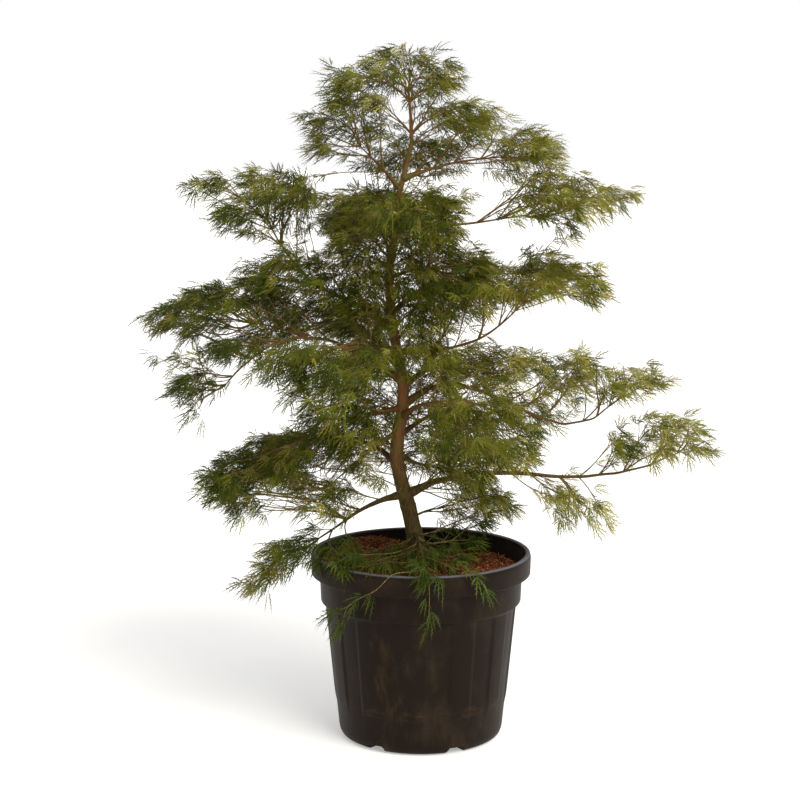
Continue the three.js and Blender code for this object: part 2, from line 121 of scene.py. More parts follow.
class MaplePotSettings(bpy.types.PropertyGroup):
    lip_round: length("Lip rounding", "Radius of the lip's rolled edges", 3.2)
    step_round: length("Step rounding", "Radius where the collar and the toe turn", 2.4)
    rib_round: length("Rib rounding", "How gently each rib rises from the wall", 2.4)
    plastic: colour("Plastic", "Moulded polypropylene, a warm near-black", "#1b120a")
    bloom: colour("Bloom", "Where handling and weather have greyed the plastic", "#392d20")
    soil_stain: colour("Soil stain", "Dried potting mix washed down the wall", "#5a4226")
    # Painted highlight: this pale grey is mixed onto the lip's top in place of the light line that its edge
    # catches.
    lip_highlight_colour: colour("Worn lip", "The lip's top, polished pale by handling", "#77767b")


class MapleSoilSettings(bpy.types.PropertyGroup):
    crumb: length("Crumb height", "How far crumbs of the mix stand up", 3.0)
    fibres: IntProperty(name="Fibres", description="Number of coir fibres on top", default=6400, min=0)
    chips: IntProperty(name="Chips", description="Number of bark chips on top", default=1500, min=0)
    fibre_length: length("Fibre length", "Longest coir fibre", 24)
    heap: length("Heap", "How far the mix is heaped behind the trunk, on the left", 24)
    peat: colour("Peat", "The damp mix between the fibres", "#3a1f14")
    coir: colour("Coir", "Fresh coir fibre", "#a35c34")
    old_coir: colour("Old coir", "Darkened coir fibre", "#6a3520")
    bleached_coir: colour("Bleached coir", "Fibre bleached by the sun", "#cd9868")


class MapleWoodSettings(bpy.types.PropertyGroup):
    ring_step: length("Ring step", "Spacing of the rings that carry the bark's relief", 3)
    relief: share("Relief", "Depth of the bark's lumps as a share of the radius", 0.06)
    wobble: length("Wobble", "How far boughs stray from their smooth line", 2.4)
    bark: colour("Bark", "Olive-brown young bark", "#493c15")
    red_bark: colour("Red bark", "Sunlit russet bark higher up", "#84562c")
    alga: colour("Alga", "Green bloom on the shaded bark", "#5a5922")
    twig_bark: colour("Twig bark", "Green-brown skin of this year's twigs", "#6e5f33")


class MapleGrowthSettings(bpy.types.PropertyGroup):
    seed: IntProperty(name="Seed", description="Seed of the branching rule", default=11)
    bud_pitch: length("Bud pitch", "Spacing of the places that twigs grow towards", 13.4)
    reach: length("Reach", "How far a twig senses a free place", 78)
    step: length("Step", "Length of twig grown at a time", 11)
    spacing: length("Spacing", "A place closer to a twig than this is filled", 12)
    tip_radius: length("Tip radius", "Radius of the finest twig", 0.62)
    pipe: share("Pipe exponent", "How quickly twigs thicken where they join", 2.15)


class MapleLeafSettings(bpy.types.PropertyGroup):
    seed: IntProperty(name="Seed", description="Seed of the leaves' places", default=11)
    leaf: length("Leaf length", "Stalk to the tip of the middle lobe", 37)
    lobe_width: share("Lobe width", "Half width of a lobe as a share of the leaf's length", 0.022)
    tooth: share("Tooth length", "Length of a lobe's teeth as a share of the leaf's length", 0.16)
    sag: share("Sag", "How far a leaf's end hangs under its stalk", 0.17)
    count: IntProperty(name="Leaves", description="Most leaves on the plant", default=14500, min=0)
    proud: length("Proud", "How far leaves may reach past the solids' box", 8)


class MapleStageSettings(bpy.types.PropertyGroup):
    distance: FloatProperty(name="Distance", description="Camera to the trunk", unit="LENGTH", default=3.4)
    height: FloatProperty(name="Height", description="Camera above the floor", unit="LENGTH", default=1.1439)
    aside: length("Aside", "Camera left of the pot's middle", 37.95)
    tilt: FloatProperty(
        name="Tilt", description="How far the camera looks down", subtype="ANGLE", default=math.radians(8.83)
    )
    lens: FloatProperty(name="Lens", description="Focal length in millimetres", default=86.17)
    floor: colour("Floor", "Matt white studio floor", "#f7f6f4")
    near_light: share("Bright side", "Strength of the soft light from the right", 0.80)
    far_light: share("Dim side", "Strength of the soft light from the left", 0.36)
    glow: share("Floor glow", "How brightly the lit table shines up", 0.36)


SETTINGS = {
    "maple_pot": MaplePotSettings,
    "maple_soil": MapleSoilSettings,
    "maple_wood": MapleWoodSettings,
    "maple_growth": MapleGrowthSettings,
    "maple_leaf": MapleLeafSettings,
    "maple_stage": MapleStageSettings,
}


def settings(name):
    """One of the groups of settings, as it stands on the scene."""
    return getattr(bpy.context.scene, name)


# ---------------------------------------------------------------- numbers and frames


def unit(vectors):
    """Vectors scaled to length one, along the last axis."""
    vectors = np.asarray(vectors, float)
    return vectors / np.maximum(np.linalg.norm(vectors, axis=-1, keepdims=True), 1e-12)


def smoothstep(low, high, value):
    t = np.clip((value - low) / (high - low), 0, 1)
    return t * t * (3 - 2 * t)


def wander(points, scale, phase=0.0):
    """A smooth number between about -1 and 1 for each point, which changes over scale metres."""
    x, y, z = (np.asarray(points, float) / scale).T
    waves = np.sin(1.9 * x + 2.3 * np.sin(1.1 * y + phase) + phase)
    waves = waves + np.sin(2.3 * y + 1.9 * np.sin(1.3 * z + 2 * phase) + 1.7 * phase)
    waves = waves + np.sin(2.1 * z + 2.1 * np.sin(0.9 * x + 3 * phase) + 2.3 * phase)
    return waves / 3


def resampled(points, radii, step):
    """A limb's line through its points as a smooth curve, with a radius at each place, step apart."""
    points = np.asarray(points, float)
    padded = np.vstack([2 * points[0] - points[1], points, 2 * points[-1] - points[-2]])
    line, thick = [], []
    for i in range(len(points) - 1):
        p0, p1, p2, p3 = padded[i:i + 4]
        count = max(2, int(round(np.linalg.norm(p2 - p1) / step)))
        t = np.arange(count)[:, None] / count
        bend = 2 * p1 + (p2 - p0) * t + (2 * p0 - 5 * p1 + 4 * p2 - p3) * t ** 2
        line.append(0.5 * (bend + (3 * p1 - p0 - 3 * p2 + p3) * t ** 3))
        thick.append(radii[i] + (radii[i + 1] - radii[i]) * t[:, 0])
    return np.vstack([*line, points[-1:]]), np.concatenate([*thick, radii[-1:]])


def ring_frames(line):
    """Two directions across a line at each of its points, which turn as little as they can."""
    along = unit(np.gradient(line, axis=0))
    first = np.cross(along[0], UP if abs(along[0][2]) < 0.9 else np.array([1.0, 0, 0]))
    across = np.empty_like(line)
    current = unit(first)
    for i, tangent in enumerate(along):
        current = unit(current - tangent * (current @ tangent))
        across[i] = current
    return across, np.cross(along, across)


# ---------------------------------------------------------------- meshes


class Mesh:
    """Corners and faces gathered from many small shapes, to be made as one piece."""

    def __init__(self):
        self.corners, self.faces, self.sizes, self.count = [], [], [], 0

    def add(self, corners, faces):
        """Adds corners with faces of one size, whose numbers start at nought."""
        corners, faces = np.asarray(corners, float), np.asarray(faces)
        self.corners.append(corners)
        self.faces.append((faces + self.count).ravel())
        self.sizes.append(np.full(len(faces), faces.shape[1]))
        self.count += len(corners)

    def more_faces(self, faces, start):
        """Adds faces between corners that are already there, counted from start."""
        faces = np.asarray(faces)
        self.faces.append((faces + start).ravel())
        self.sizes.append(np.full(len(faces), faces.shape[1]))

    def tube(self, line, radii, sides, across=None, relief=None):
        """Adds a closed tube along a line; relief gives each ring's corners their share of the radius."""
        first, second = across if across is not None else ring_frames(line)
        turn = np.arange(sides) * (2 * math.pi / sides)
        radius = np.asarray(radii)[:, None] * (relief if relief is not None else 1)
        radius = np.broadcast_to(radius, (len(line), sides))
        ring = first[:, None] * (radius * np.cos(turn))[..., None]
        ring = ring + second[:, None] * (radius * np.sin(turn))[..., None]
        start = self.count
        low = np.arange(len(line) - 1)[:, None] * sides + np.arange(sides)
        high = np.arange(len(line) - 1)[:, None] * sides + (np.arange(sides) + 1) % sides
        quads = np.stack([low, high, high + sides, low + sides], -1).reshape(-1, 4)
        self.add((np.asarray(line)[:, None] + ring).reshape(-1, 3), quads)
        foot = np.arange(sides)[::-1][None]
        self.more_faces(foot, start)
        self.more_faces((len(line) - 1) * sides + np.arange(sides)[None], start)

    def build(self, name, material, smooth=True):
        """The gathered shapes as an object with a material."""
        corners = np.vstack(self.corners)
        faces, sizes = np.concatenate(self.faces), np.concatenate(self.sizes)
        data = bpy.data.meshes.new(name)
        data.vertices.add(len(corners))
        data.vertices.foreach_set("co", corners.astype(np.float32).ravel())
        data.loops.add(len(faces))
        data.loops.foreach_set("vertex_index", faces.astype(np.int32))
        data.polygons.add(len(sizes))
        starts = np.concatenate([[0], np.cumsum(sizes)[:-1]])
        data.polygons.foreach_set("loop_start", starts.astype(np.int32))
        data.polygons.foreach_set("use_smooth", np.full(len(sizes), smooth))
        data.update(calc_edges=True)
        data.materials.append(material)
        piece = bpy.data.objects.new(name, data)
        bpy.context.collection.objects.link(piece)
        return piece


def settle(piece, nodes):
    """Puts a piece on the body and hides the solids that it stands for."""
    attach(piece, BODY)
    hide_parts(*nodes)


@lru_cache(maxsize=None)
def solid(name):
    """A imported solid's corners and triangles."""
    data = frame["nodes"][name].data
    data.calc_loop_triangles()
    corners = np.empty(len(data.vertices) * 3)
    triangles = np.empty(len(data.loop_triangles) * 3, dtype=np.int64)
    data.vertices.foreach_get("co", corners)
    data.loop_triangles.foreach_get("vertices", triangles)
    return corners.reshape(-1, 3), triangles.reshape(-1, 3)


@lru_cache(maxsize=None)
def tree_of(name):
    """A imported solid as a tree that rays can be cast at."""
    corners, triangles = solid(name)
    return BVHTree.FromPolygons(corners.tolist(), triangles.tolist())


def inside(name, points):
    """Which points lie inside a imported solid, by how often a ray from each crosses its skin."""
    tree = tree_of(name)
    way = Vector((0.31, 0.17, 0.93)).normalized()
    found = np.zeros(len(points), bool)
    for i, point in enumerate(points):
        start, crossings = Vector(point), 0
        while True:
            hit = tree.ray_cast(start, way)[0]
            if hit is None:
                break
            crossings += 1
            start = hit + way * 1e-6
        found[i] = crossings % 2 == 1
    return found


def section(name, normal, level):
    """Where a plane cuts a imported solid: the middle of the cut and the length round it."""
    corners, triangles = solid(name)
    height = corners @ normal - level
    above = height[triangles] > 0
    cut = triangles[above.any(1) & ~above.all(1)]
    if len(cut) == 0:
        return None
    edges = np.stack([cut, np.roll(cut, -1, axis=1)], -1)
    start, stop = height[edges[..., 0]], height[edges[..., 1]]
    crossed = (start > 0) != (stop > 0)
    t = np.where(crossed, start / np.where(crossed, start - stop, 1), 0)[..., None]
    places = corners[edges[..., 0]] * (1 - t) + corners[edges[..., 1]] * t
    ends = places[crossed].reshape(-1, 2, 3)
    lengths = np.linalg.norm(ends[:, 1] - ends[:, 0], axis=1)
    return (ends.mean(1) * lengths[:, None]).sum(0) / lengths.sum(), lengths.sum()


# ---------------------------------------------------------------- limbs


def corner_ratio(sides):
    """Length round a regular polygon for each unit of its corners' radius."""
    return 2 * sides * math.sin(math.pi / sides)


@lru_cache(maxsize=None)
def trunk_line():
    """The trunk's line and radii, measured on its solid from the soil to the top."""
    low, high = (corner[2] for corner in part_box("trunk"))
    ends = 2 * MM
    places, radii = [], []
    for level in np.linspace(low + ends, high - ends, 40):
        middle, girth = section("trunk", UP, level)
        places.append(middle)
        radii.append(girth / corner_ratio(8))
    return np.array(places), np.array(radii)


def nearest_on(points, place):
    """The point of a line nearest a place, and how far off it is."""
    gaps = np.linalg.norm(points - place, axis=1)
    return points[gaps.argmin()], gaps.min()


@lru_cache(maxsize=None)
def bough_line(name):
    """A bough's line from the middle of its carrier to its tip, with radii, measured on its solid."""
    corners, _ = solid(name)
    flat = corners[:, :2] - corners[:, :2].mean(0)
    heading = np.append(np.linalg.svd(flat, full_matrices=False)[2][0], 0)
    trunk, _ = trunk_line()
    along = corners @ heading
    if nearest_on(trunk, corners[along.argmin()])[1] > nearest_on(trunk, corners[along.argmax()])[1]:
        heading, along = -heading, -along
    low, high = along.min() + 7 * MM, along.max() - 5 * MM
    count = max(5, int((high - low) / (18 * MM)))
    cuts = [section(name, heading, level) for level in np.linspace(low, high, count)]
    middles = np.array([middle for middle, _ in cuts])
    slope = unit(np.gradient(middles, axis=0)) @ heading
    radii = np.array([girth for _, girth in cuts]) / (1 + 1 / np.maximum(slope, 0.3)) * 2 / corner_ratio(5)
    carrier = trunk
    if name == "bough_left_arch_fork":
        carrier = bough_line("bough_left_arch")[0]
    root_gap = nearest_on(carrier, middles[0])[1]
    root = middles[0] + unit(middles[0] - middles[1]) * root_gap
    tip = middles[-1] + unit(middles[-1] - middles[-2]) * 10 * MM
    return np.vstack([root, middles, tip]), np.concatenate([radii[:1], radii, radii[-1:] * 0.9])


@lru_cache(maxsize=None)
def limbs():
    """Every limb's smooth line and radii, with the small kinks of real growth; the trunk comes first."""
    wood = settings("maple_wood")
    made = []
    for number, name in enumerate(["trunk", *WOOD]):
        places, radii = trunk_line() if name == "trunk" else bough_line(name)
        line, thick = resampled(places, radii, wood.ring_step)
        if name != "trunk":
            thick = thick * np.linspace(1, 0.45, len(thick))
            from_root = np.linalg.norm(line - line[0], axis=1)
            let_go = smoothstep(0.01, 0.07, from_root)[:, None]
            stray = [wander(line + 0.3 * axis, 0.05, number + axis) for axis in range(3)]
            line = line + np.array(stray).T * let_go * wood.wobble
        made.append((name, line, thick))
    return made


def bark_relief(line, radii, across, sides, depth, phase):
    """How far each corner of a limb's rings stands out, as a share of its radius."""
    turn = np.arange(sides) * (2 * math.pi / sides)
    first, second = across
    skin = line[:, None] + radii[:, None, None] * (
        first[:, None] * np.cos(turn)[:, None] + second[:, None] * np.sin(turn)[:, None]
    )
    flat = skin.reshape(-1, 3)
    lumps = wander(flat, 0.017, phase).reshape(skin.shape[:2])
    furrows = wander(flat * [1, 1, 0.22], 0.0045, phase + 1).reshape(skin.shape[:2])
    run = np.concatenate([[0], np.cumsum(np.linalg.norm(np.diff(line, axis=0), axis=1))])
    node_gap = 0.046
    nodes = np.exp(-(((run + 0.01 * phase) % node_gap - node_gap / 2) / 0.0035) ** 2)[:, None]
    return 1 + depth * (lumps + 0.45 * furrows + 0.9 * nodes)


# ---------------------------------------------------------------- twigs

# How full of buds a mass is, where it is more open than the others.
FULLNESS = {
    "mass_crown_top": 0.7,
    "mass_second_left": 0.5,
    "mass_left_upper": 0.5,
    "mass_left_outer": 0.7,
    "mass_left_skirt": 0.9,
    "mass_left_arch_tip": 0.7,
    "mass_back_low_right": 0.25,
    "mass_left_mid": 0.9,
    "mass_front_right": 0.6,
    "mass_right_mid_inner": 0.6,
    "mass_right_mid_outer": 0.4,
    "mass_right_low_outer": 0.2,
    "mass_right_low_spray": 0.6,
    "mass_right_low_inner": 0.8,
    "mass_right_upper": 0.9,
    "mass_right_shoulder": 0.7,
    "mass_right_top": 0.6,
    "mass_front_top": 0.6,
    "mass_front_left": 0.9,
    "mass_centre_right": 1.0,
}

# A small spray leaves each mass's skin for about this much of its half width, depth and height together.
SPRAY_GAP = 46
# The least and most half sizes of such a spray, in millimetres, and how full of buds it can be.
SPRAY_LEAST, SPRAY_MOST = (18, 24, 12), (52, 42, 32)
SPRAY_FULLNESS = (0.45, 0.9)
# How many such sprays lie over the mix, and how far in millimetres twigs keep from the pot's lip.
LOW_SPRAYS = 9
LIP_GAP = 7


def outward(places):
    """The level way from the trunk to each place."""
    trunk, _ = trunk_line()
    middle = [np.interp(places[:, 2], trunk[:, 2], trunk[:, i]) for i in range(2)]
    return np.column_stack([unit(places[:, :2] - np.array(middle).T), np.zeros(len(places))])


def places_in(name, pitch, drop, rng):
    """Places for buds in a mass: far enough from its lower and outer skin for leaves to hang inside it."""
    low, high = (np.array(corner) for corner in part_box(name))
    axes = [np.arange(low[i], high[i] + pitch, pitch) for i in range(3)]
    grid = np.stack(np.meshgrid(*axes, indexing="ij"), -1).reshape(-1, 3)
    grid = grid + rng.uniform(-0.5, 0.5, grid.shape) * pitch
    grid = grid[inside(name, grid)]
    rise = (grid[:, 2] - low[2]) / (high[2] - low[2])
    full = FULLNESS.get(name, 1) * (0.4 + 0.6 * rise) + 0.4 * wander(grid, 0.04, 2)
    grid = grid[rng.uniform(0, 1, len(grid)) < full]
    hang = outward(grid) * 0.85 - UP * 0.45
    loose = rng.uniform(0.5, 1.1, (len(grid), 1))
    room = inside(name, grid + hang * drop * loose)
    return grid[room] - hang[room] * drop * 0.2


# The sprays round the stem: from and to which shares of its height they stand, how far out in
# millimetres, how thinly, and below what height the stem's front shows through them.
STEM_LOW, STEM_HIGH, STEM_REACH, STEM_THINNESS, STEM_SHOWS = 0.2, 0.79, 105, 0.65, 680


def places_by_trunk(pitch, rng):
    """Places for the sprays that close the crown round the trunk, thinner than in the masses."""
    trunk, _ = trunk_line()
    foot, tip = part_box("trunk")[0][2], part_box("trunk")[1][2]
    low, high = (foot + share_up * (tip - foot) for share_up in (STEM_LOW, STEM_HIGH))
    reach = STEM_REACH * MM
    count = int(STEM_THINNESS * math.pi * reach ** 2 * (high - low) / pitch ** 3)
    height = rng.uniform(low, high, count)
    turn, radius = rng.uniform(0, 2 * math.pi, count), reach * np.sqrt(rng.uniform(0.06, 1, count))
    middle = np.array([np.interp(height, trunk[:, 2], trunk[:, i]) for i in range(2)]).T
    off = np.column_stack([np.cos(turn), np.sin(turn)]) * radius[:, None]
    bare = (height < STEM_SHOWS * MM) & (off[:, 1] < 0.01) & (abs(off[:, 0]) < 0.05)
    return np.column_stack([middle + off, height])[~bare]


def spray_places(middle, pitch, rng):
    """Places for buds in one small spray, whose size and fullness are drawn by the seed."""
    size = rng.uniform(SPRAY_LEAST, SPRAY_MOST) * MM
    room = 4 / 3 * math.pi * np.prod(size)
    count = int(math.ceil(rng.uniform(*SPRAY_FULLNESS) * room / pitch ** 3))
    spread = unit(rng.normal(size=(count, 3))) * np.cbrt(rng.uniform(0, 1, (count, 1)))
    return middle + spread * size


def low_sprays(pitch, rng):
    """Places for the small sprays that lie low over the mix, in front of the stem and beside it."""
    low, high = (np.array(corner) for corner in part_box("root_ball"))
    found = []
    for _ in range(LOW_SPRAYS):
        middle = low + (high - low) * rng.uniform((0.05, 0.05, 1), (0.95, 0.6, 1))
        middle[2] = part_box("pot")[1][2] + LIP_GAP * MM
        found.append(spray_places(middle, pitch, rng))
    return np.vstack(found)


def over_the_lip(places):
    """The places, moved up where they would lie in the pot, so that twigs pass over its lip."""
    low, high = (np.array(corner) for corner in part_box("pot"))
    rim = (high[0] - low[0]) / 2 + LIP_GAP * MM
    within = np.linalg.norm(places[:, :2] - (low + high)[:2] / 2, axis=1) < rim
    raised = np.maximum(places[:, 2], high[2] + LIP_GAP * MM)
    return np.column_stack([places[:, :2], np.where(within, raised, places[:, 2])])


def side_sprays(name, pitch, drop, rng):
    """Places for the small sprays that stand out of a mass's skin, so that its edge is ragged."""
    low, high = (np.array(corner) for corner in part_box(name))
    half = (high - low) / 2
    sprays = max(1, int(round(half.sum() / (SPRAY_GAP * MM))))
    sides = unit(rng.normal(size=(sprays, 3))) * rng.uniform(0.6, 1.05, (sprays, 1))
    found = [spray_places((low + high) / 2 + side * half, pitch, rng) for side in sides]
    found = np.vstack(found)
    crown_low, crown_high = (np.array(corner) for corner in CAD_BOX)
    crown_low[2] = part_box("pot")[1][2] + 0.5 * drop
    clear = (found > crown_low + (drop, drop, 0)).all(1) & (found < crown_high - drop * 0.8).all(1)
    return found[clear | inside(name, found)]


def bud_places(growth, rng):
    """All the places that twigs grow towards."""
    drop = 1.1 * settings("maple_leaf").leaf
    found = [places_in(name, growth.bud_pitch, drop, rng) for name in MASSES]
    found.append(places_by_trunk(growth.bud_pitch, rng))
    found += [side_sprays(name, growth.bud_pitch, drop, rng) for name in MASSES]
    found.append(low_sprays(growth.bud_pitch, rng))
    return over_the_lip(np.vstack(found))


class Growth:
    """The twigs as places with parents, which start from places on the limbs."""

    def __init__(self, room):
        self.place = np.zeros((room, 3))
        self.way = np.zeros((room, 3))
        self.parent = np.full(room, -1)
        self.count = 0

    def add(self, places, ways, parents):
        fresh = np.arange(self.count, self.count + len(places))
        self.place[fresh], self.way[fresh], self.parent[fresh] = places, ways, parents
        self.count += len(places)
        return fresh


# How strongly distance counts against a fork's angle: twigs leave at about the angle whose cosine is
# 1 / this.
FORWARD = 1.25
# How much each millimetre that a place lies below a twig counts against growing down to it.
STEEP = 0.5
# Mean gap between the places on a limb where twigs start, in millimetres.
START_GAP = 40
# Room for this many twig places, at most this many steps of growth, and forks of at most this many twigs.
GROWTH_ROOM, GROWTH_STEPS, MOST_FORKS = 60000, 170, 4


@lru_cache(maxsize=None)
def twigs():
    """Twigs grown step by step from the limbs towards free places in the masses."""
    growth = settings("maple_growth")
    rng = np.random.default_rng(growth.seed)
    targets = bud_places(growth, rng)
    grown = Growth(GROWTH_ROOM)
    for name, line, _ in limbs():
        gaps = START_GAP * MM / growth_step(line) * rng.uniform(0.5, 1.5, len(line))
        marks = len(line) - 1 - np.append(0, np.cumsum(gaps)).astype(int)
        picks = np.unique(marks[marks > 0])
        if name == "trunk":
            picks = picks[line[picks, 2] > line[0, 2] + 30 * MM]
        ways = unit(np.gradient(line, axis=0))[picks]
        across = ring_frames(line)
        start = rng.uniform(0, 2 * math.pi, len(picks))
        for turn in np.arange(4) * math.pi / 2:
            angle = (start + turn)[:, None]
            side = across[0][picks] * np.cos(angle) + across[1][picks] * np.sin(angle)
            grown.add(line[picks], unit(0.8 * ways + 0.6 * side), -1)
    roots = grown.count
    far, score = nearness(targets, grown.place[:roots], grown.way[:roots])
    nearest, best, gap = score.argmin(1), score.min(1), far.min(1)
    children = np.zeros(GROWTH_ROOM, int)
    closed = np.zeros(GROWTH_ROOM, bool)
    alive = gap > growth.spacing * 0.5
    for _ in range(GROWTH_STEPS):
        pulled = alive & (gap < growth.reach)
        if not pulled.any():
            break
        pull = unit(targets[pulled] - grown.place[nearest[pulled]])
        total = np.zeros((grown.count, 3))
        np.add.at(total, nearest[pulled], pull)
        growing = np.unique(nearest[pulled])
        places = grown.place[growing]
        lean = outward(places) * 0.16 + UP * 0.06
        keen = np.where(grown.parent[growing] < 0, 0.9, 0.42)[:, None]
        way = unit(total[growing]) + keen * grown.way[growing] + lean + rng.normal(0, 0.12, (len(growing), 3))
        way = unit(way)
        tips = over_the_lip(places + way * growth.step)
        crowded = children[growing] >= MOST_FORKS
        for i, (tip, source) in enumerate(zip(tips, growing)):
            siblings = np.flatnonzero(grown.parent[:grown.count] == source) if children[source] else []
            apart = np.linalg.norm(grown.place[siblings] - tip, axis=1) if len(siblings) else [growth.step]
            if min(apart) < 0.35 * growth.step:
                crowded[i] = True
        closed[growing[crowded]] = True
        handed_on = np.flatnonzero(alive & closed[nearest])
        if len(handed_on):
            open_places = np.flatnonzero(~closed[:grown.count])
            _, score = nearness(targets[handed_on], grown.place[open_places], grown.way[open_places])
            nearest[handed_on], best[handed_on] = open_places[score.argmin(1)], score.min(1)
        keep = ~crowded
        if not keep.any():
            continue
        fresh = grown.add(tips[keep], way[keep], growing[keep])
        np.add.at(children, growing[keep], 1)
        far, score = nearness(targets, grown.place[fresh], grown.way[fresh])
        closer = score.min(1) < best
        nearest[closer] = fresh[score.argmin(1)[closer]]
        best, gap = np.minimum(best, score.min(1)), np.minimum(gap, far.min(1))
        alive &= gap > growth.spacing
    return finished_twigs(grown, roots, growth)


def nearness(targets, places, ways):
    """How far each target is from each place, and how well a twig would reach it from there: a place
    whose twig already heads that way counts as nearer, so that twigs fork forwards."""
    gaps = targets.astype(np.float32)[:, None] - places.astype(np.float32)[None]
    far = np.linalg.norm(gaps, axis=2)
    ahead = np.einsum("tpk,pk->tp", gaps, ways.astype(np.float32))
    below = np.maximum(0, -gaps[:, :, 2])
    return far, FORWARD * far - ahead + STEEP * below


def growth_step(line):
    """Mean spacing of a line's points."""
    return np.linalg.norm(np.diff(line, axis=0), axis=1).mean()


def finished_twigs(grown, roots, growth):
    """Grown places with their parents, radii, ways and how far each is from its furthest tip."""
    count = grown.count
    place, parent = grown.place[:count].copy(), grown.parent[:count].copy()
    flow = np.zeros(count)
    reach = np.zeros(count)
    for i in range(count - 1, roots - 1, -1):
        flow[i] = max(flow[i], growth.tip_radius ** growth.pipe)
        above = parent[i]
        flow[above] += flow[i]
        reach[above] = max(reach[above], reach[i] + np.linalg.norm(place[i] - place[above]))
    radius = np.maximum(flow, growth.tip_radius ** growth.pipe) ** (1 / growth.pipe)
    smooth = place.copy()
    for _ in range(2):
        total, links = np.zeros_like(place), np.zeros(count)
        twig = np.arange(roots, count)
        np.add.at(total, parent[twig], smooth[twig])
        np.add.at(links, parent[twig], 1)
        total[twig] += smooth[parent[twig]]
        links[twig] += 1
        move = total / np.maximum(links, 1)[:, None] - smooth
        move[:roots] = 0
        move[links < 2] = 0
        smooth = smooth + 0.35 * move
    way = np.zeros_like(place)
    twig = np.arange(roots, count)
    way[twig] = unit(smooth[twig] - smooth[parent[twig]])
    return {"place": smooth, "parent": parent, "radius": radius, "way": way, "reach": reach, "roots": roots}


def twig_chains(grown):
    """Runs of twig places from a fork to a tip, each with the place that it starts from."""
    parent, radius, roots = grown["parent"], grown["radius"], grown["roots"]
    count = len(parent)
    heir = np.full(count, -1)
    for i in np.argsort(radius[roots:], kind="stable") + roots:
        heir[parent[i]] = i
    chains = []
    for i in range(roots, count):
        if heir[parent[i]] == i and parent[i] >= roots:
            continue
        chain = [parent[i], i]
        while heir[chain[-1]] >= 0:
            chain.append(heir[chain[-1]])
        chains.append(np.array(chain))
    return chains


# ---------------------------------------------------------------- leaves

# A leaf's lobes: how far each turns from the middle one, in degrees, and its length as a share.
LOBES = ((0, 1.0), (23, 0.93), (-23, 0.91), (50, 0.70), (-50, 0.68))
# Places along a lobe where its blade has an edge, and how wide it is there.
BLADE = ((0.04, 0.35), (0.52, 1.0))
TEETH = (0.27, 0.46, 0.66)


def lobe_point(t, aside, start, curl, reach, lift, roll):
    """A place on a lobe: t along it and aside from its rib, as the lobe curls back to the leaf's axis."""
    turns = start * (1 - curl * np.linspace(0, t, 12))
    middle = np.array([np.sin(turns).mean(), np.cos(turns).mean()]) * reach * t
    side = np.array([math.cos(turns[-1]), -math.sin(turns[-1])])
    return [*(middle + side * aside), lift * t * reach + roll * aside]


def leaf_template(look, rng):
    """One leaf of length one in its own plane, its stalk's end at the origin and its middle lobe along +Y."""
    made = Mesh()
    for angle, reach in LOBES:
        lobe = {
            "start": math.radians(angle + rng.uniform(-7, 7)),
            "curl": rng.uniform(0.1, 0.9),
            "reach": reach * rng.uniform(0.85, 1.08),
            "lift": rng.uniform(-0.16, 0.12),
            "roll": rng.uniform(-0.7, 0.7),
        }
        edges = [(t, side * look.lobe_width * width) for t, width in BLADE for side in (-1, 1)]
        corners = [lobe_point(t, aside, **lobe) for t, aside in edges]
        corners.append(lobe_point(1, 0, **lobe))
        faces = []
        for k in range(0, 2 * len(BLADE) - 2, 2):
            faces += [[k, k + 1, k + 3], [k, k + 3, k + 2]]
        last = 2 * len(BLADE)
        faces.append([last - 2, last - 1, last])
        for number, t in enumerate(TEETH):
            for side in (-1, 1):
                tooth = look.tooth * (1 - 0.14 * number) * rng.uniform(0.75, 1.25)
                root = t + 0.04 * side
                half_root = 0.026
                forward = min(root + 0.65 * tooth / lobe["reach"], 1)
                corners += [
                    lobe_point(root - half_root, 0, **lobe),
                    lobe_point(root + half_root, 0, **lobe),
                    lobe_point(forward, side * 0.68 * tooth, **lobe),
                ]
                faces.append([len(corners) - 3, len(corners) - 2, len(corners) - 1])
        made.add(corners, faces)
    stalk = 0.012
    made.add([[-stalk, -0.3, 0], [stalk, -0.3, 0], [0, 0.06, 0.01]], [[0, 1, 2]])
    return np.vstack(made.corners), np.concatenate(made.faces).reshape(-1, 3)


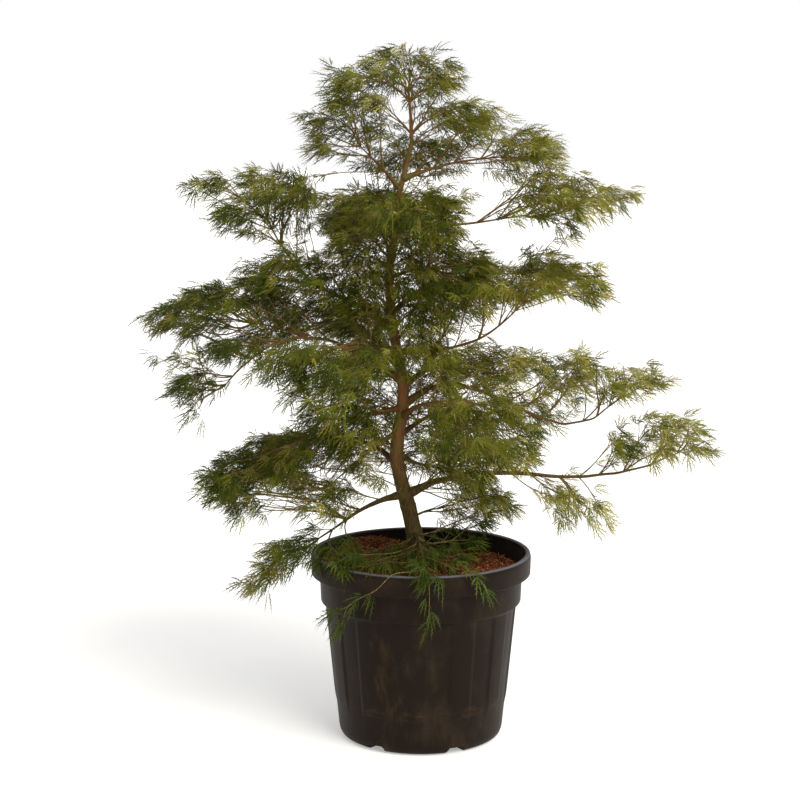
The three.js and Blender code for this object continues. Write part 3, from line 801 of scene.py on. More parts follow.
def leaf_places(rng):
    """Where leaves grow: base, way, upward side, scale and spray of each."""
    look = settings("maple_leaf")
    grown = twigs()
    place, parent, way, reach = (grown[key] for key in ("place", "parent", "way", "reach"))
    roots = grown["roots"]
    twig = np.arange(roots, len(place))
    tip = reach[twig] == 0
    order = np.round(reach[twig] / settings("maple_growth").step).astype(int)
    by_pot = (place[twig, 2] < 0.38) & (np.linalg.norm(place[twig, :2], axis=1) < 0.24)
    paired = (reach[twig] < 0.03) | (reach[twig] < np.where(by_pot, 0.12, 0.075)) & (order % 2 == 0)
    picks = np.concatenate([twig[tip], np.repeat(twig[paired], 2)])
    side_sign = np.concatenate([np.zeros(tip.sum()), np.tile([-1, 1], paired.sum())])
    out = outward(place[picks])
    along = way[picks]
    sideways = unit(np.cross(along, UP + rng.normal(0, 0.25, along.shape)))
    over_rim = smoothstep(0.15, 0.19, np.linalg.norm(place[picks, :2], axis=1))
    over_rim = over_rim * (1 - smoothstep(0.34, 0.42, place[picks, 2]))
    before_pot = over_rim * (place[picks, 1] < -0.15)
    drift = 0.9 * wander(place[picks], 0.15, 5)
    flow = np.column_stack([
        out[:, 0] * np.cos(drift) - out[:, 1] * np.sin(drift),
        out[:, 0] * np.sin(drift) + out[:, 1] * np.cos(drift),
        0.3 * wander(place[picks], 0.09, 8),
    ])
    lean = rng.normal(0, 0.27, along.shape)
    fall = UP * (rng.uniform(0.1, 0.65, len(picks)) + 0.15 * over_rim + 0.1 * before_pot)[:, None]
    axis = unit(0.65 * flow + 0.4 * along + 0.5 * sideways * side_sign[:, None] + lean - fall)
    scale = look.leaf * rng.uniform(0.62, 1.15, len(picks)) * (1 + 0.1 * over_rim + 0.1 * before_pot)
    stalk = unit(0.7 * along + 0.7 * sideways * side_sign[:, None] + axis * 0.4)
    base = place[picks] + stalk * (0.3 * scale)[:, None]
    upward = UP + rng.normal(0, 0.75, axis.shape)
    normal = unit(upward - axis * (upward * axis).sum(1, keepdims=True))
    tips = base + (axis - UP * look.sag) * scale[:, None]
    low, high = (np.array(corner) for corner in CAD_BOX)
    held = ((tips > low - look.proud) & (tips < high + look.proud)).all(1)
    picks, base, axis, normal, scale = (a[held] for a in (picks, base, axis, normal, scale))
    if len(picks) > look.count:
        keep = np.sort(rng.permutation(len(picks))[: look.count])
        picks, base, axis, normal, scale = (a[keep] for a in (picks, base, axis, normal, scale))
    spray = picks.copy()
    for _ in range(7):
        spray = np.where(parent[spray] >= roots, parent[spray], spray)
    return {"base": base, "axis": axis, "normal": normal, "scale": scale, "spray": spray}


# Leaf tones, darkest to lightest, then the low and the turned ones; which one a leaf takes is partly random
# tone and partly painted light and shade.
TONES = (
    ("shade_green", "#3c460b"),
    ("deep_green", "#535a0f"),
    ("green", "#696d17"),
    ("moss", "#756e27"),
    ("olive", "#79782b"),
    ("fresh", "#939039"),
    ("sunlit", "#b1a856"),
    ("low_green", "#3c4a12"),
    ("low_tip", "#566622"),
    ("yellow", "#a89f30"),
)

# How many single leaves have turned yellow.
TURNED_LEAVES = 9


def leaf_tones(leaves, rng):
    """The tone of each leaf: dealt by spray, with painted light making it lighter towards the right and
    painted shade making it darker at the front of the crown.
    """
    base, spray = leaves["base"], leaves["spray"]
    low, high = (np.array(corner) for corner in CAD_BOX)
    rightness = (base[:, 0] - low[0]) / (high[0] - low[0])
    luck = rng.normal(0, 1, spray.max() + 1)[spray]
    # Painted light: leaves further right take lighter tones, standing in for the light from the right.
    light = -0.7 + 2.95 * rightness + 0.7 * luck + 0.35 * wander(base, 0.11, 3)
    light = light + rng.normal(0, 0.6, len(base))
    # Painted shade: leaves at the front of the crown take darker tones.
    light = light - 0.6 * smoothstep(0.03, 0.16, -base[:, 1])
    edges = (-0.25, 0.3, 0.8, 1.3, 1.8, 2.4)
    tone = np.digitize(light, edges)
    names = [name for name, _ in TONES]
    # Leaves low by the pot take the low tones, the paler one where the painted light and the random tone are
    # high.
    by_pot = (base[:, 2] < 0.40) & (np.linalg.norm(base[:, :2], axis=1) < 0.24)
    tone[by_pot & (light > 0)] = names.index("low_green")
    tone[by_pot & (light > 1.4)] = names.index("low_tip")
    turned = rng.choice(len(base), TURNED_LEAVES, replace=False)
    tone[turned] = names.index("yellow")
    return tone


# ---------------------------------------------------------------- materials


def add_node(tree, kind, properties=(), sockets=()):
    """Adds a shader node, sets its properties and fills or links its sockets."""
    made = tree.nodes.new(kind)
    for name, value in dict(properties).items():
        if name == "ramp":
            stops = made.color_ramp.elements
            while len(stops) < len(value):
                stops.new(1)
            for stop, (position, tint) in zip(stops, value):
                stop.position = position
                stop.color = (*tint, 1)
        else:
            setattr(made, name, value)
    for name, value in dict(sockets).items():
        if isinstance(value, bpy.types.NodeSocket):
            tree.links.new(value, made.inputs[name])
        else:
            made.inputs[name].default_value = value
    return made


def new_material(name, **shader):
    """A material with its tree and a principled shader whose constant sockets are set."""
    material = bpy.data.materials.new(name)
    material.use_nodes = True
    tree = material.node_tree
    finish = tree.nodes["Principled BSDF"]
    for socket, value in shader.items():
        finish.inputs[socket.replace("_", " ")].default_value = value
    return material, tree, finish


def moulded_polypropylene():
    """Injection-moulded polypropylene with carbon black: a satin near-black that greys with handling,
    with a painted highlight along the top of its lip, and streaked down one side with washed-out mix."""
    pot = settings("maple_pot")
    material, tree, finish = new_material("moulded polypropylene", Metallic=0, IOR=1.49)
    finish.inputs["Specular IOR Level"].default_value = 0.09
    where = add_node(tree, "ShaderNodeTexCoord").outputs["Object"]
    place = add_node(tree, "ShaderNodeSeparateXYZ", sockets={"Vector": where})
    streak_width = 15 * MM
    stretched = add_node(tree, "ShaderNodeMapping", sockets={"Vector": where, "Scale": (1, 1, 0.3)})
    streaks = add_node(tree, "ShaderNodeTexNoise", sockets={
        "Vector": stretched.outputs[0], "Scale": 1 / streak_width, "Detail": 4, "Roughness": 0.6})
    cloud_width = 60 * MM
    run_down = add_node(tree, "ShaderNodeMapping", sockets={"Vector": where, "Scale": (1.2, 1.2, 0.6)})
    clouds = add_node(tree, "ShaderNodeTexNoise", sockets={
        "Vector": run_down.outputs[0], "Scale": 1 / cloud_width, "Detail": 8, "Roughness": 0.62})
    speck_width = 2.2 * MM
    specks = add_node(tree, "ShaderNodeTexNoise", sockets={
        "Vector": where, "Scale": 1 / speck_width, "Detail": 3, "Roughness": 0.5})
    greyed = add_node(tree, "ShaderNodeMapRange", {"interpolation_type": "SMOOTHSTEP"}, {
        "Value": clouds.outputs[0], "From Min": 0.46, "From Max": 0.74, "To Min": 0, "To Max": 0.55})
    base = add_node(tree, "ShaderNodeMix", {"data_type": "RGBA"}, {
        "Factor": greyed.outputs[0], 6: (*pot.plastic, 1), 7: (*pot.bloom, 1)})
    washed_at, washed_reach = -62 * MM, 66 * MM
    off = add_node(tree, "ShaderNodeMath", {"operation": "SUBTRACT"}, {0: place.outputs["X"], 1: washed_at})
    far = add_node(tree, "ShaderNodeMath", {"operation": "ABSOLUTE"}, {0: off.outputs[0]})
    washed = add_node(tree, "ShaderNodeMapRange", {"interpolation_type": "SMOOTHSTEP"}, {
        "Value": far.outputs[0], "From Min": washed_reach, "From Max": 0.0, "To Min": 0.55, "To Max": 1.0})
    below_collar = add_node(tree, "ShaderNodeMapRange", {"interpolation_type": "SMOOTHSTEP"}, {
        "Value": place.outputs["Z"], "From Min": 0.27, "From Max": 0.19, "To Min": 0.2, "To Max": 1.0})
    mottled = add_node(tree, "ShaderNodeMath", {"operation": "MULTIPLY"}, {
        0: clouds.outputs[0], 1: streaks.outputs[0]})
    beside = add_node(tree, "ShaderNodeMath", {"operation": "MULTIPLY"}, {
        0: washed.outputs[0], 1: below_collar.outputs[0]})
    mixed = add_node(tree, "ShaderNodeMath", {"operation": "MULTIPLY"}, {
        0: mottled.outputs[0], 1: beside.outputs[0]})
    stained = add_node(tree, "ShaderNodeMapRange", {"interpolation_type": "SMOOTHSTEP"}, {
        "Value": mixed.outputs[0], "From Min": 0.19, "From Max": 0.5, "To Min": 0, "To Max": 0.55})
    coat = add_node(tree, "ShaderNodeMix", {"data_type": "RGBA"}, {
        "Factor": stained.outputs[0], 6: base.outputs[2], 7: (*pot.soil_stain, 1)})
    level = add_node(tree, "ShaderNodeMapping", sockets={"Vector": where, "Scale": (0.3, 0.3, 1)})
    scuff_height = 7 * MM
    scuffs = add_node(tree, "ShaderNodeTexNoise", sockets={
        "Vector": level.outputs[0], "Scale": 1 / scuff_height, "Detail": 7, "Roughness": 0.7})
    above_foot = add_node(tree, "ShaderNodeMath", {"operation": "SUBTRACT"}, {
        0: place.outputs["Z"], 1: 75 * MM})
    foot_gap = add_node(tree, "ShaderNodeMath", {"operation": "ABSOLUTE"}, {0: above_foot.outputs[0]})
    near_foot = add_node(tree, "ShaderNodeMapRange", {"interpolation_type": "SMOOTHSTEP"}, {
        "Value": foot_gap.outputs[0], "From Min": 50 * MM, "From Max": 0.0, "To Min": 0.0, "To Max": 1.0})
    rubbed = add_node(tree, "ShaderNodeMath", {"operation": "MULTIPLY"}, {
        0: scuffs.outputs[0], 1: near_foot.outputs[0]})
    scuffed = add_node(tree, "ShaderNodeMapRange", {"interpolation_type": "SMOOTHSTEP"}, {
        "Value": rubbed.outputs[0], "From Min": 0.42, "From Max": 0.72, "To Min": 0, "To Max": 0.25})
    rubbed_coat = add_node(tree, "ShaderNodeMix", {"data_type": "RGBA"}, {
        "Factor": scuffed.outputs[0], 6: coat.outputs[2], 7: (*pot.soil_stain, 1)})
    # Painted highlight: the top few millimetres of the lip are mixed towards a pale grey, standing in for the
    # light along its edge.
    lip_highlight_share = add_node(tree, "ShaderNodeMapRange", {"interpolation_type": "SMOOTHSTEP"}, {
        "Value": place.outputs["Z"], "From Min": 0.3352, "From Max": 0.3382, "To Min": 0, "To Max": 0.75})
    lip_highlighted = add_node(tree, "ShaderNodeMix", {"data_type": "RGBA"}, {
        "Factor": lip_highlight_share.outputs[0], 6: rubbed_coat.outputs[2], 7: (*pot.lip_highlight_colour, 1)})
    tree.links.new(lip_highlighted.outputs[2], finish.inputs["Base Color"])
    rough = add_node(tree, "ShaderNodeMapRange", sockets={
        "Value": clouds.outputs[0], "From Min": 0.3, "From Max": 0.75, "To Min": 0.4, "To Max": 0.56})
    tree.links.new(rough.outputs[0], finish.inputs["Roughness"])
    bump = add_node(tree, "ShaderNodeBump", sockets={
        "Height": specks.outputs[0], "Strength": 0.12, "Distance": 0.3 * MM})
    tree.links.new(bump.outputs[0], finish.inputs["Normal"])
    return material


def potting_mix(name, tint, darker, grain):
    """Peat and coir potting mix: dead matt, dark between the crumbs and rusty where fibre shows."""
    material, tree, finish = new_material(name, Metallic=0, Roughness=0.95)
    finish.inputs["Specular IOR Level"].default_value = 0.2
    where = add_node(tree, "ShaderNodeTexCoord").outputs["Object"]
    crumbs = add_node(tree, "ShaderNodeTexNoise", sockets={
        "Vector": where, "Scale": 1 / grain, "Detail": 5, "Roughness": 0.7})
    shade = add_node(tree, "ShaderNodeValToRGB", {"ramp": ((0.36, darker), (0.62, tint))}, {
        "Fac": crumbs.outputs[0]})
    tree.links.new(shade.outputs[0], finish.inputs["Base Color"])
    bump = add_node(tree, "ShaderNodeBump", sockets={
        "Height": crumbs.outputs[0], "Strength": 0.8, "Distance": 1.5 * MM})
    tree.links.new(bump.outputs[0], finish.inputs["Normal"])
    return material


def young_bark(name, brown, red, green, redness):
    """Smooth young maple bark: olive-brown skin with fine upright streaks, russet where the sun
    reaches it, a green bloom of alga in patches, and breathing pores in its relief."""
    material, tree, finish = new_material(name, Metallic=0)
    finish.inputs["Specular IOR Level"].default_value = 0.3
    where = add_node(tree, "ShaderNodeTexCoord").outputs["Object"]
    streak_width = 2.6 * MM
    stretched = add_node(tree, "ShaderNodeMapping", sockets={"Vector": where, "Scale": (1, 1, 0.16)})
    streaks = add_node(tree, "ShaderNodeTexNoise", sockets={
        "Vector": stretched.outputs[0], "Scale": 1 / streak_width, "Detail": 5, "Roughness": 0.65})
    patch_width = 46 * MM
    patches = add_node(tree, "ShaderNodeTexNoise", sockets={
        "Vector": where, "Scale": 1 / patch_width, "Detail": 4, "Roughness": 0.55})
    pore_width = 4.5 * MM
    squashed = add_node(tree, "ShaderNodeMapping", sockets={"Vector": where, "Scale": (0.4, 0.4, 1.6)})
    pores = add_node(tree, "ShaderNodeTexVoronoi", sockets={
        "Vector": squashed.outputs[0], "Scale": 1 / pore_width, "Randomness": 1})
    height = add_node(tree, "ShaderNodeSeparateXYZ", sockets={"Vector": where}).outputs["Z"]
    dark = tuple(c * 0.42 for c in brown)
    pale = tuple(min(1, c * 1.9) for c in brown)
    skin = add_node(tree, "ShaderNodeValToRGB", {"ramp": ((0.38, dark), (0.51, brown), (0.66, pale))}, {
        "Fac": streaks.outputs[0]})
    sunlit = add_node(tree, "ShaderNodeMapRange", {"interpolation_type": "SMOOTHSTEP"}, {
        "Value": height, "From Min": 0.38, "From Max": 0.66, "To Min": redness * 0.1, "To Max": redness})
    russet = add_node(tree, "ShaderNodeMath", {"operation": "MULTIPLY"}, {
        0: sunlit.outputs[0], 1: streaks.outputs[0]})
    russet_twice = add_node(tree, "ShaderNodeMath", {"operation": "MULTIPLY", "use_clamp": True}, {
        0: russet.outputs[0], 1: 1.7})
    warmed = add_node(tree, "ShaderNodeMix", {"data_type": "RGBA"}, {
        "Factor": russet_twice.outputs[0], 6: skin.outputs[0], 7: (*red, 1)})
    mossy = add_node(tree, "ShaderNodeMapRange", {"interpolation_type": "SMOOTHSTEP"}, {
        "Value": patches.outputs[0], "From Min": 0.5, "From Max": 0.68, "To Min": 0, "To Max": 0.7})
    greened = add_node(tree, "ShaderNodeMix", {"data_type": "RGBA"}, {
        "Factor": mossy.outputs[0], 6: warmed.outputs[2], 7: (*green, 1)})
    tree.links.new(greened.outputs[2], finish.inputs["Base Color"])
    rough = add_node(tree, "ShaderNodeMapRange", sockets={
        "Value": streaks.outputs[0], "From Min": 0.3, "From Max": 0.7, "To Min": 0.62, "To Max": 0.85})
    tree.links.new(rough.outputs[0], finish.inputs["Roughness"])
    relief = add_node(tree, "ShaderNodeMath", {"operation": "SUBTRACT"}, {
        0: streaks.outputs[0], 1: pores.outputs["Distance"]})
    bump = add_node(tree, "ShaderNodeBump", sockets={
        "Height": relief.outputs[0], "Strength": 0.5, "Distance": 0.5 * MM})
    tree.links.new(bump.outputs[0], finish.inputs["Normal"])
    return material


def leaf_skin(tone, hexcode):
    """A dissected leaf's thin green blade: a plain colour for each tone, waxy on top, finely ribbed."""
    material, tree, finish = new_material(f"laceleaf blade {tone}", Metallic=0, Roughness=0.6)
    finish.inputs["Base Color"].default_value = (*linear(hexcode), 1)
    finish.inputs["Specular IOR Level"].default_value = 0.15
    where = add_node(tree, "ShaderNodeTexCoord").outputs["Object"]
    rib_spacing = 1.4 * MM
    ribs = add_node(tree, "ShaderNodeTexNoise", sockets={
        "Vector": where, "Scale": 1 / rib_spacing, "Detail": 2})
    bump = add_node(tree, "ShaderNodeBump", sockets={
        "Height": ribs.outputs[0], "Strength": 0.25, "Distance": 0.2 * MM})
    tree.links.new(bump.outputs[0], finish.inputs["Normal"])
    return material


def studio_floor():
    """Matt white painted board: pale and even, with the faintest mottling."""
    stage = settings("maple_stage")
    material, tree, finish = new_material("matt white board", Metallic=0, Roughness=0.9)
    finish.inputs["Specular IOR Level"].default_value = 0.1
    where = add_node(tree, "ShaderNodeTexCoord").outputs["Object"]
    mottle_width = 0.4
    mottle = add_node(tree, "ShaderNodeTexNoise", sockets={"Vector": where, "Scale": 1 / mottle_width})
    tint = tuple(stage.floor)
    ramp = ((0.3, tuple(c * 0.985 for c in tint)), (0.7, tint))
    shade = add_node(tree, "ShaderNodeValToRGB", {"ramp": ramp}, {"Fac": mottle.outputs[0]})
    tree.links.new(shade.outputs[0], finish.inputs["Base Color"])
    finish.inputs["Emission Color"].default_value = (1, 1, 1, 1)
    finish.inputs["Emission Strength"].default_value = stage.glow
    return material


# ---------------------------------------------------------------- pot

POT = {
    "height": 339, "rim": 200, "mouth": 190, "lip": 39, "collar": 184, "collar_foot": 244,
    "body": 172, "foot": 148, "toe": 136, "wall": 4, "draft": 2, "step": 6,
}
RIB = {"count": 12, "spread": 15, "proud": 2, "foot": 60, "fade": 16, "heading": -34.5}
CHANNEL = {"count": 6, "width": 32, "height": 12, "inner": 105, "heading": -64.4}


def rounded(corners, radii, steps=5):
    """A profile of straight runs whose corners are rounded by the radii."""
    corners = np.asarray(corners, float)
    path = [corners[:1]]
    t = np.linspace(0, 1, steps)[:, None]
    for before, corner, after, radius in zip(corners, corners[1:], corners[2:], radii):
        to_before, to_after = before - corner, after - corner
        cut = min(radius, 0.45 * np.linalg.norm(to_before), 0.45 * np.linalg.norm(to_after))
        start, stop = corner + unit(to_before) * cut, corner + unit(to_after) * cut
        path.append((1 - t) ** 2 * start + 2 * t * (1 - t) * corner + t ** 2 * stop)
    path.append(corners[-1:])
    return np.vstack(path)


def split_long(profile, longest):
    """A profile with its long runs split into shorter ones."""
    made = [profile[0]]
    for start, stop in zip(profile, profile[1:]):
        count = max(1, int(math.ceil(np.linalg.norm(stop - start) / longest)))
        made += [start + (stop - start) * (k + 1) / count for k in range(count)]
    return np.array(made)


def around(turn, count, heading, half_width, soft):
    """For each turn, one within half_width of an evenly spaced heading, falling to nought over soft."""
    pitch = 2 * math.pi / count
    off = np.abs((turn - math.radians(heading) + pitch / 2) % pitch - pitch / 2)
    return 1 - smoothstep(half_width - soft, half_width + soft, off)


def pot_shell():
    """The pot's outside and inside as one closed skin, with rolled lip, collar, ribs and drain channels."""
    look = settings("maple_pot")
    lip_round, step_round = look.lip_round / MM, look.step_round / MM
    lip_foot = POT["height"] - POT["lip"]
    outside = rounded(
        [(0, 0), (POT["toe"], 0), (POT["foot"] - 2.4, 4), (POT["foot"] + 1.4, 14),
         (POT["body"], POT["collar_foot"]), (POT["collar"] - POT["draft"], POT["collar_foot"] + POT["step"]),
         (POT["collar"], lip_foot), (POT["rim"] - 1, lip_foot + 0.5), (POT["rim"], POT["height"] - 8),
         (POT["rim"] - 2, POT["height"]), (POT["mouth"] + 0.5, POT["height"] - 0.6),
         (POT["mouth"] - 1, POT["height"] - 10), (POT["collar"] - POT["wall"], lip_foot),
         (POT["collar"] - POT["wall"] - POT["draft"], POT["collar_foot"] + 8),
         (POT["body"] - POT["wall"], POT["collar_foot"] + 2), (POT["foot"] - POT["wall"], 18), (0, 16.5)],
        [step_round, 4, 4, step_round, step_round, step_round, 1.6, lip_round * 2, lip_round, 1.6,
         lip_round, 4, 4, 4, 4],
    )
    profile = split_long(outside, 14.0)
    radius, height = profile.T
    turns = np.arange(360) * (2 * math.pi / 360)
    outer = np.arange(len(profile)) <= np.argmax(height)
    rib_half = math.radians(RIB["spread"] / 2)
    soft = look.rib_round / MM / POT["body"]
    rib = around(turns, RIB["count"], RIB["heading"], rib_half, soft)
    rise = smoothstep(RIB["foot"], RIB["foot"] + RIB["fade"], height)
    rise = rise * (height < POT["collar_foot"] + 3) * outer
    proud = RIB["proud"] * rise[:, None] * rib[None]
    channel_half = CHANNEL["width"] / 2 / POT["toe"]
    channel = around(turns, CHANNEL["count"], CHANNEL["heading"], channel_half, 0.012)
    under = outer & (height < CHANNEL["height"]) & (radius > CHANNEL["inner"])
    lifted = np.where(
        under[:, None], np.maximum(height[:, None], CHANNEL["height"] * channel[None]), height[:, None]
    )
    spread = (radius[:, None] + proud) * MM
    corners = np.stack([spread * np.cos(turns), spread * np.sin(turns), lifted * MM], -1)
    made = Mesh()
    rings, sides = corners.shape[0] - 2, corners.shape[1]
    inner = corners[1:-1].reshape(-1, 3)
    low = np.arange(rings - 1)[:, None] * sides + np.arange(sides)
    high = np.arange(rings - 1)[:, None] * sides + (np.arange(sides) + 1) % sides
    made.add(inner, np.stack([low, high, high + sides, low + sides], -1).reshape(-1, 4))
    start = made.count
    made.add([[0, 0, height[0] * MM], [0, 0, height[-1] * MM]], np.zeros((0, 3), int))
    ring, following = np.arange(sides), (np.arange(sides) + 1) % sides
    made.more_faces(np.stack([following, ring, np.full(sides, start)], -1), 0)
    last = (rings - 1) * sides
    made.more_faces(np.stack([last + ring, last + following, np.full(sides, start + 1)], -1), 0)
    return made


# ---------------------------------------------------------------- potting mix


def mix_height(points):
    """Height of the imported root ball's top under points."""
    tree = tree_of("root_ball")
    top = CAD_BOX[1][2]
    heights = np.empty(len(points))
    for i, (x, y) in enumerate(points):
        hit = tree.ray_cast(Vector((x, y, top)), Vector((0, 0, -1)))[0]
        heights[i] = hit.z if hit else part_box("root_ball")[1].z - 0.02
    off = np.linalg.norm(points - np.array([-88, 122]) * MM, axis=1)
    under_lip = (POT["height"] - 6) * MM
    return np.minimum(heights + settings("maple_soil").heap * np.exp(-(off / 0.072) ** 2), under_lip)


def mix_surface(crumb):
    """The potting mix: a crumbly top that follows the root ball, and the sides and underside of its slab."""
    sides, edge, slab = 220, 0.1842, 0.03
    radii = np.concatenate([[0.0], np.sqrt(np.linspace(0.0002, 1, 86)) * edge])
    turn = np.arange(sides) * (2 * math.pi / sides)
    flat = np.stack([radii[1:, None] * np.cos(turn), radii[1:, None] * np.sin(turn)], -1).reshape(-1, 2)
    height = mix_height(flat)
    points = np.column_stack([flat, height])
    crumbs = wander(points * [1, 1, 0], 0.0036, 1) + 0.7 * wander(points * [1, 1, 0], 0.0085, 4)
    crumbs = crumbs + 1.3 * wander(points * [1, 1, 0], 0.019, 6)
    fade = 1 - smoothstep(edge - 0.006, edge, np.linalg.norm(flat, axis=1))
    points[:, 2] += crumb * 0.62 * crumbs * fade
    made = Mesh()
    rings = len(radii) - 1
    low = np.arange(rings - 1)[:, None] * sides + np.arange(sides)
    high = np.arange(rings - 1)[:, None] * sides + (np.arange(sides) + 1) % sides
    made.add(points, np.stack([low, low + sides, high + sides, high], -1).reshape(-1, 4))
    ring, following = np.arange(sides), (np.arange(sides) + 1) % sides
    top_middle = made.count
    made.add([[0, 0, points[:sides, 2].mean()]], np.zeros((0, 3), int))
    made.more_faces(np.stack([ring, following, np.full(sides, top_middle)], -1), 0)
    rim = (rings - 1) * sides
    base = made.count
    edge_ring = points[rim:rim + sides].copy()
    edge_ring[:, 2] = edge_ring[:, 2].min() - slab
    edge_ring[:, :2] *= 0.975
    made.add(edge_ring, np.zeros((0, 3), int))
    made.more_faces(np.stack([rim + following, rim + ring, base + ring, base + following], -1), 0)
    made.more_faces((base + ring[::-1])[None], 0)
    return made


def scatter_on_mix(count, rng):
    """Random places on top of the potting mix."""
    radius = 0.183 * np.sqrt(rng.uniform(0, 1, count))
    turn = rng.uniform(0, 2 * math.pi, count)
    flat = np.column_stack([radius * np.cos(turn), radius * np.sin(turn)])
    return np.column_stack([flat, mix_height(flat)])


def fibre_mesh(places, longest, rng):
    """Coir fibres: thin bent strips that lie on the mix with their ends lifted."""
    made = Mesh()
    count = len(places)
    span = longest * rng.uniform(0.3, 1, count)
    turn = rng.uniform(0, 2 * math.pi, count)
    bend = rng.normal(0, 0.9, count)
    width = rng.uniform(0.28, 0.6, count) * MM
    corners = np.empty((count, 8, 3))
    for k, t in enumerate((-0.5, -0.17, 0.17, 0.5)):
        way = turn + bend * t
        middle = places[:, :2] + np.column_stack([np.cos(way), np.sin(way)]) * (span * t)[:, None]
        lift = places[:, 2] + rng.uniform(0.4, 3.4, count) * MM + rng.uniform(0, 5.5, count) * MM * abs(t) * 2
        aside = np.column_stack([-np.sin(way), np.cos(way)]) * (width * (1 - 0.8 * abs(t)))[:, None]
        for j, sign in enumerate((-1, 1)):
            corners[:, 2 * k + j, :2] = middle + sign * aside
            corners[:, 2 * k + j, 2] = lift + sign * width * 0.6
    strip = np.array([[0, 1, 3, 2], [2, 3, 5, 4], [4, 5, 7, 6]])
    made.add(corners.reshape(-1, 3), (np.arange(count)[:, None, None] * 8 + strip).reshape(-1, 4))
    return made


def chip_mesh(places, rng):
    """Bark chips and crumbs: small flat wedges, each turned its own way."""
    made = Mesh()
    shape = np.array([[-1, -0.6, -0.3], [1, -0.5, -0.3], [0.8, 0.7, -0.2], [-0.7, 0.5, -0.3], [0.1, 0, 0.5]])
    faces = np.array([[0, 1, 4], [1, 2, 4], [2, 3, 4], [3, 0, 4], [2, 1, 0], [3, 2, 0]])
    count = len(places)
    size = rng.uniform(1.2, 4.2, (count, 1)) * MM
    turn = rng.uniform(0, 2 * math.pi, count)
    tilt = rng.normal(0, 0.4, count)
    local = shape[None] * rng.uniform(0.6, 1.3, (count, 5, 3)) * size[:, None]
    x = local[..., 0] * np.cos(turn)[:, None] - local[..., 1] * np.sin(turn)[:, None]
    y = local[..., 0] * np.sin(turn)[:, None] + local[..., 1] * np.cos(turn)[:, None]
    z = local[..., 2] + local[..., 0] * np.sin(tilt)[:, None]
    corners = np.stack([x, y, z], -1) + places[:, None] + UP * 1.6 * MM
    made.add(corners.reshape(-1, 3), (np.arange(count)[:, None, None] * 5 + faces).reshape(-1, 3))
    return made


# ---------------------------------------------------------------- operators


class MAPLE_OT_stage(bpy.types.Operator):
    """Makes the floor, the lights and the camera"""

    bl_idname = "maple.stage"
    bl_label = "Studio"

    def execute(self, context):
        stage = settings("maple_stage")
        made = Mesh()
        half = 30.0
        made.add([[-half, -half, 0], [half, -half, 0], [half, half, 0], [-half, half, 0]], [[0, 1, 2, 3]])
        floor = made.build("studio_floor", studio_floor(), smooth=False)
        floor.location.z = -0.0005
        world = bpy.data.worlds.new("studio")
        world.use_nodes = True
        sky = world.node_tree.nodes["Background"]
        sky.inputs["Color"].default_value = (1, 1, 1, 1)
        seen = add_node(world.node_tree, "ShaderNodeLightPath").outputs["Is Camera Ray"]
        heading = add_node(world.node_tree, "ShaderNodeTexCoord").outputs["Generated"]
        split = add_node(world.node_tree, "ShaderNodeSeparateXYZ", sockets={"Vector": heading})
        rightward = split.outputs["X"]
        wall = add_node(world.node_tree, "ShaderNodeMapRange", sockets={
            "Value": rightward, "From Min": -1.0, "To Min": stage.far_light, "To Max": stage.near_light})
        shine = add_node(world.node_tree, "ShaderNodeMapRange", sockets={
            "Value": seen, "To Min": wall.outputs[0], "To Max": 1.0})
        world.node_tree.links.new(shine.outputs[0], sky.inputs["Strength"])
        context.scene.world = world
        sun = bpy.data.lights.new("window", "SUN")
        sun.energy = 2.2
        sun.color = (1.0, 0.97, 0.91)
        sun.angle = math.radians(36)
        lamp = bpy.data.objects.new("window", sun)
        lamp.rotation_euler = (math.radians(38), math.radians(34), 0)
        context.collection.objects.link(lamp)
        context.scene.view_settings.view_transform = "Standard"
        lens = bpy.data.cameras.new("camera")
        lens.lens = stage.lens
        camera = bpy.data.objects.new("camera", lens)
        camera.location = (-stage.aside, -stage.distance, stage.height)
        camera.rotation_euler = (math.pi / 2 - stage.tilt, 0, 0)
        context.collection.objects.link(camera)
        context.scene.camera = camera
        return {"FINISHED"}


class MAPLE_OT_pot(bpy.types.Operator):
    """Makes the moulded nursery pot"""

    bl_idname = "maple.pot"
    bl_label = "Pot"

    def execute(self, context):
        shell = pot_shell().build("pot_shell", moulded_polypropylene())
        settle(shell, ["pot"])
        return {"FINISHED"}


class MAPLE_OT_mix(bpy.types.Operator):
    """Makes the potting mix with its fibres and chips"""

    bl_idname = "maple.mix"
    bl_label = "Potting mix"

    def execute(self, context):
        look = settings("maple_soil")
        rng = np.random.default_rng(3)
        peat, coir = tuple(look.peat), tuple(look.coir)
        old, bleached = tuple(look.old_coir), tuple(look.bleached_coir)
        crumbs = potting_mix("peat and coir", old, peat, 5 * MM)
        settle(mix_surface(look.crumb).build("mix_surface", crumbs), ["root_ball"])
        tones = (
            ("coir_red", coir, old, 0.45),
            ("coir_dark", old, peat, 0.28),
            ("coir_pale", bleached, coir, 0.27),
        )
        for name, tint, darker, part in tones:
            places = scatter_on_mix(int(look.fibres * part), rng)
            fibres = fibre_mesh(places, look.fibre_length, rng)
            skin = potting_mix(name.replace("_", " "), tint, darker, 9 * MM)
            piece = fibres.build(name, skin, smooth=False)
            settle(piece, ["root_ball"])
        chips = chip_mesh(scatter_on_mix(look.chips, rng), rng)
        piece = chips.build("bark_chips", potting_mix("composted bark", coir, peat, 12 * MM), smooth=False)
        settle(piece, ["root_ball"])
        return {"FINISHED"}


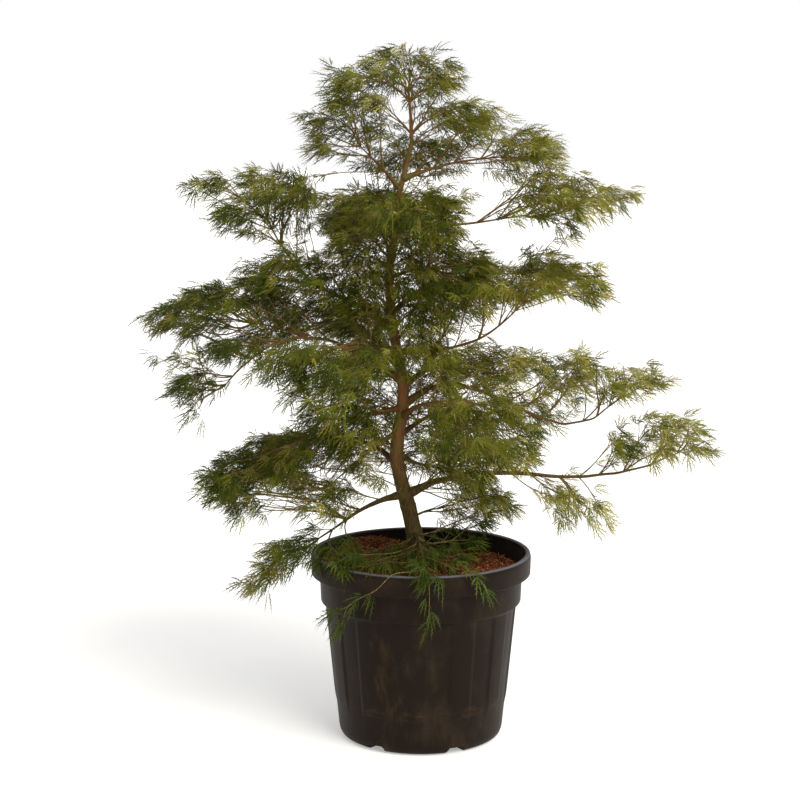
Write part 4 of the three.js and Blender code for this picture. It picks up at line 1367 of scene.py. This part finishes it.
class MAPLE_OT_limbs(bpy.types.Operator):
    """Makes the trunk and the boughs with the bark's relief"""

    bl_idname = "maple.limbs"
    bl_label = "Trunk and boughs"

    def execute(self, context):
        wood = settings("maple_wood")
        bark, red, alga = tuple(wood.bark), tuple(wood.red_bark), tuple(wood.alga)
        stem, arms = Mesh(), Mesh()
        for number, (name, line, radii) in enumerate(limbs()):
            trunk = name == "trunk"
            if trunk:
                line = np.vstack([line[0] - UP * 8 * MM, line])
                radii = 0.92 * np.append(radii[0] * 1.06, radii)
            else:
                run = np.linalg.norm(line - line[0], axis=1)
                radii = 0.92 * radii * (1 + 0.35 * np.exp(-run / 0.02))
            sides = 32 if trunk else 14
            across = ring_frames(line)
            relief = bark_relief(line, radii, across, sides, wood.relief, number * 1.3)
            (stem if trunk else arms).tube(line, radii, sides, across, relief)
        skin = young_bark("young maple bark", bark, red, alga, 0.9)
        settle(stem.build("trunk_bark", skin), ["trunk"])
        piece = arms.build("bough_bark", young_bark("bough bark", bark, red, alga, 0.5))
        settle(piece, WOOD)
        return {"FINISHED"}


class MAPLE_OT_twigs(bpy.types.Operator):
    """Grows the twigs into the masses of foliage"""

    bl_idname = "maple.twigs"
    bl_label = "Twigs"

    def execute(self, context):
        wood = settings("maple_wood")
        grown = twigs()
        made = Mesh()
        for chain in twig_chains(grown):
            line = grown["place"][chain]
            radii = grown["radius"][chain].copy()
            radii[0] = radii[1] * 1.15
            radii[-1] *= 0.6
            sides = 6 if radii[0] > 1.6 * MM else 4
            made.tube(line, radii, sides)
        tint = tuple(wood.twig_bark)
        skin = young_bark("twig bark", tint, tuple(wood.red_bark), tint, 0.4)
        settle(made.build("twigs", skin), MASSES)
        return {"FINISHED"}


class MAPLE_OT_leaves(bpy.types.Operator):
    """Hangs the leaves on the twigs, in one piece for each tone"""

    bl_idname = "maple.leaves"
    bl_label = "Leaves"

    def execute(self, context):
        look = settings("maple_leaf")
        rng = np.random.default_rng(look.seed)
        leaves = leaf_places(rng)
        templates = [leaf_template(look, rng) for _ in range(10)]
        base, axis, normal, scale = (leaves[key] for key in ("base", "axis", "normal", "scale"))
        turned = np.stack([np.cross(axis, normal), axis, normal], 1)
        shape = rng.integers(0, len(templates), len(base))
        tone = leaf_tones(leaves, rng)
        meshes = [Mesh() for _ in TONES]
        for number, (corners, faces) in enumerate(templates):
            for part, made in enumerate(meshes):
                picks = np.flatnonzero((shape == number) & (tone == part))
                if len(picks) == 0:
                    continue
                grown = np.einsum("vk,lkc->lvc", corners, turned[picks]) * scale[picks, None, None]
                reach = np.linalg.norm(grown, axis=2)
                grown[..., 2] -= look.sag * reach ** 2 / scale[picks, None]
                grown = grown + base[picks, None]
                rows = np.arange(len(picks))[:, None, None] * len(corners) + faces
                made.add(grown.reshape(-1, 3), rows.reshape(-1, 3))
        for (name, hexcode), made in zip(TONES, meshes):
            piece = made.build(f"leaves_{name}", leaf_skin(name.replace("_", " "), hexcode), smooth=False)
            settle(piece, MASSES)
        return {"FINISHED"}


OPERATORS = (
    MAPLE_OT_stage,
    MAPLE_OT_pot,
    MAPLE_OT_mix,
    MAPLE_OT_limbs,
    MAPLE_OT_twigs,
    MAPLE_OT_leaves,
)


class MAPLE_PT_panel(bpy.types.Panel):
    """Lists what the maple is made of"""

    bl_idname = "MAPLE_PT_panel"
    bl_label = "Potted laceleaf maple"
    bl_space_type = "VIEW_3D"
    bl_region_type = "UI"
    bl_category = "Maple"

    def draw(self, context):
        for operator in OPERATORS:
            self.layout.operator(operator.bl_idname)
        for name, group in SETTINGS.items():
            box = self.layout.box()
            box.label(text=name.replace("_", " "))
            for setting in group.__annotations__:
                box.prop(settings(name), setting)


def register():
    for group in (*SETTINGS.values(), *OPERATORS, MAPLE_PT_panel):
        bpy.utils.register_class(group)
    for name, group in SETTINGS.items():
        setattr(bpy.types.Scene, name, PointerProperty(type=group))


def unregister():
    for name in SETTINGS:
        delattr(bpy.types.Scene, name)
    for group in (MAPLE_PT_panel, *reversed(OPERATORS), *reversed(SETTINGS.values())):
        bpy.utils.unregister_class(group)


def main():
    """Builds everything in order."""
    register()
    bpy.ops.maple.stage()
    bpy.ops.maple.pot()
    bpy.ops.maple.mix()
    bpy.ops.maple.limbs()
    bpy.ops.maple.twigs()
    bpy.ops.maple.leaves()


if __name__ == "__main__":
    main()
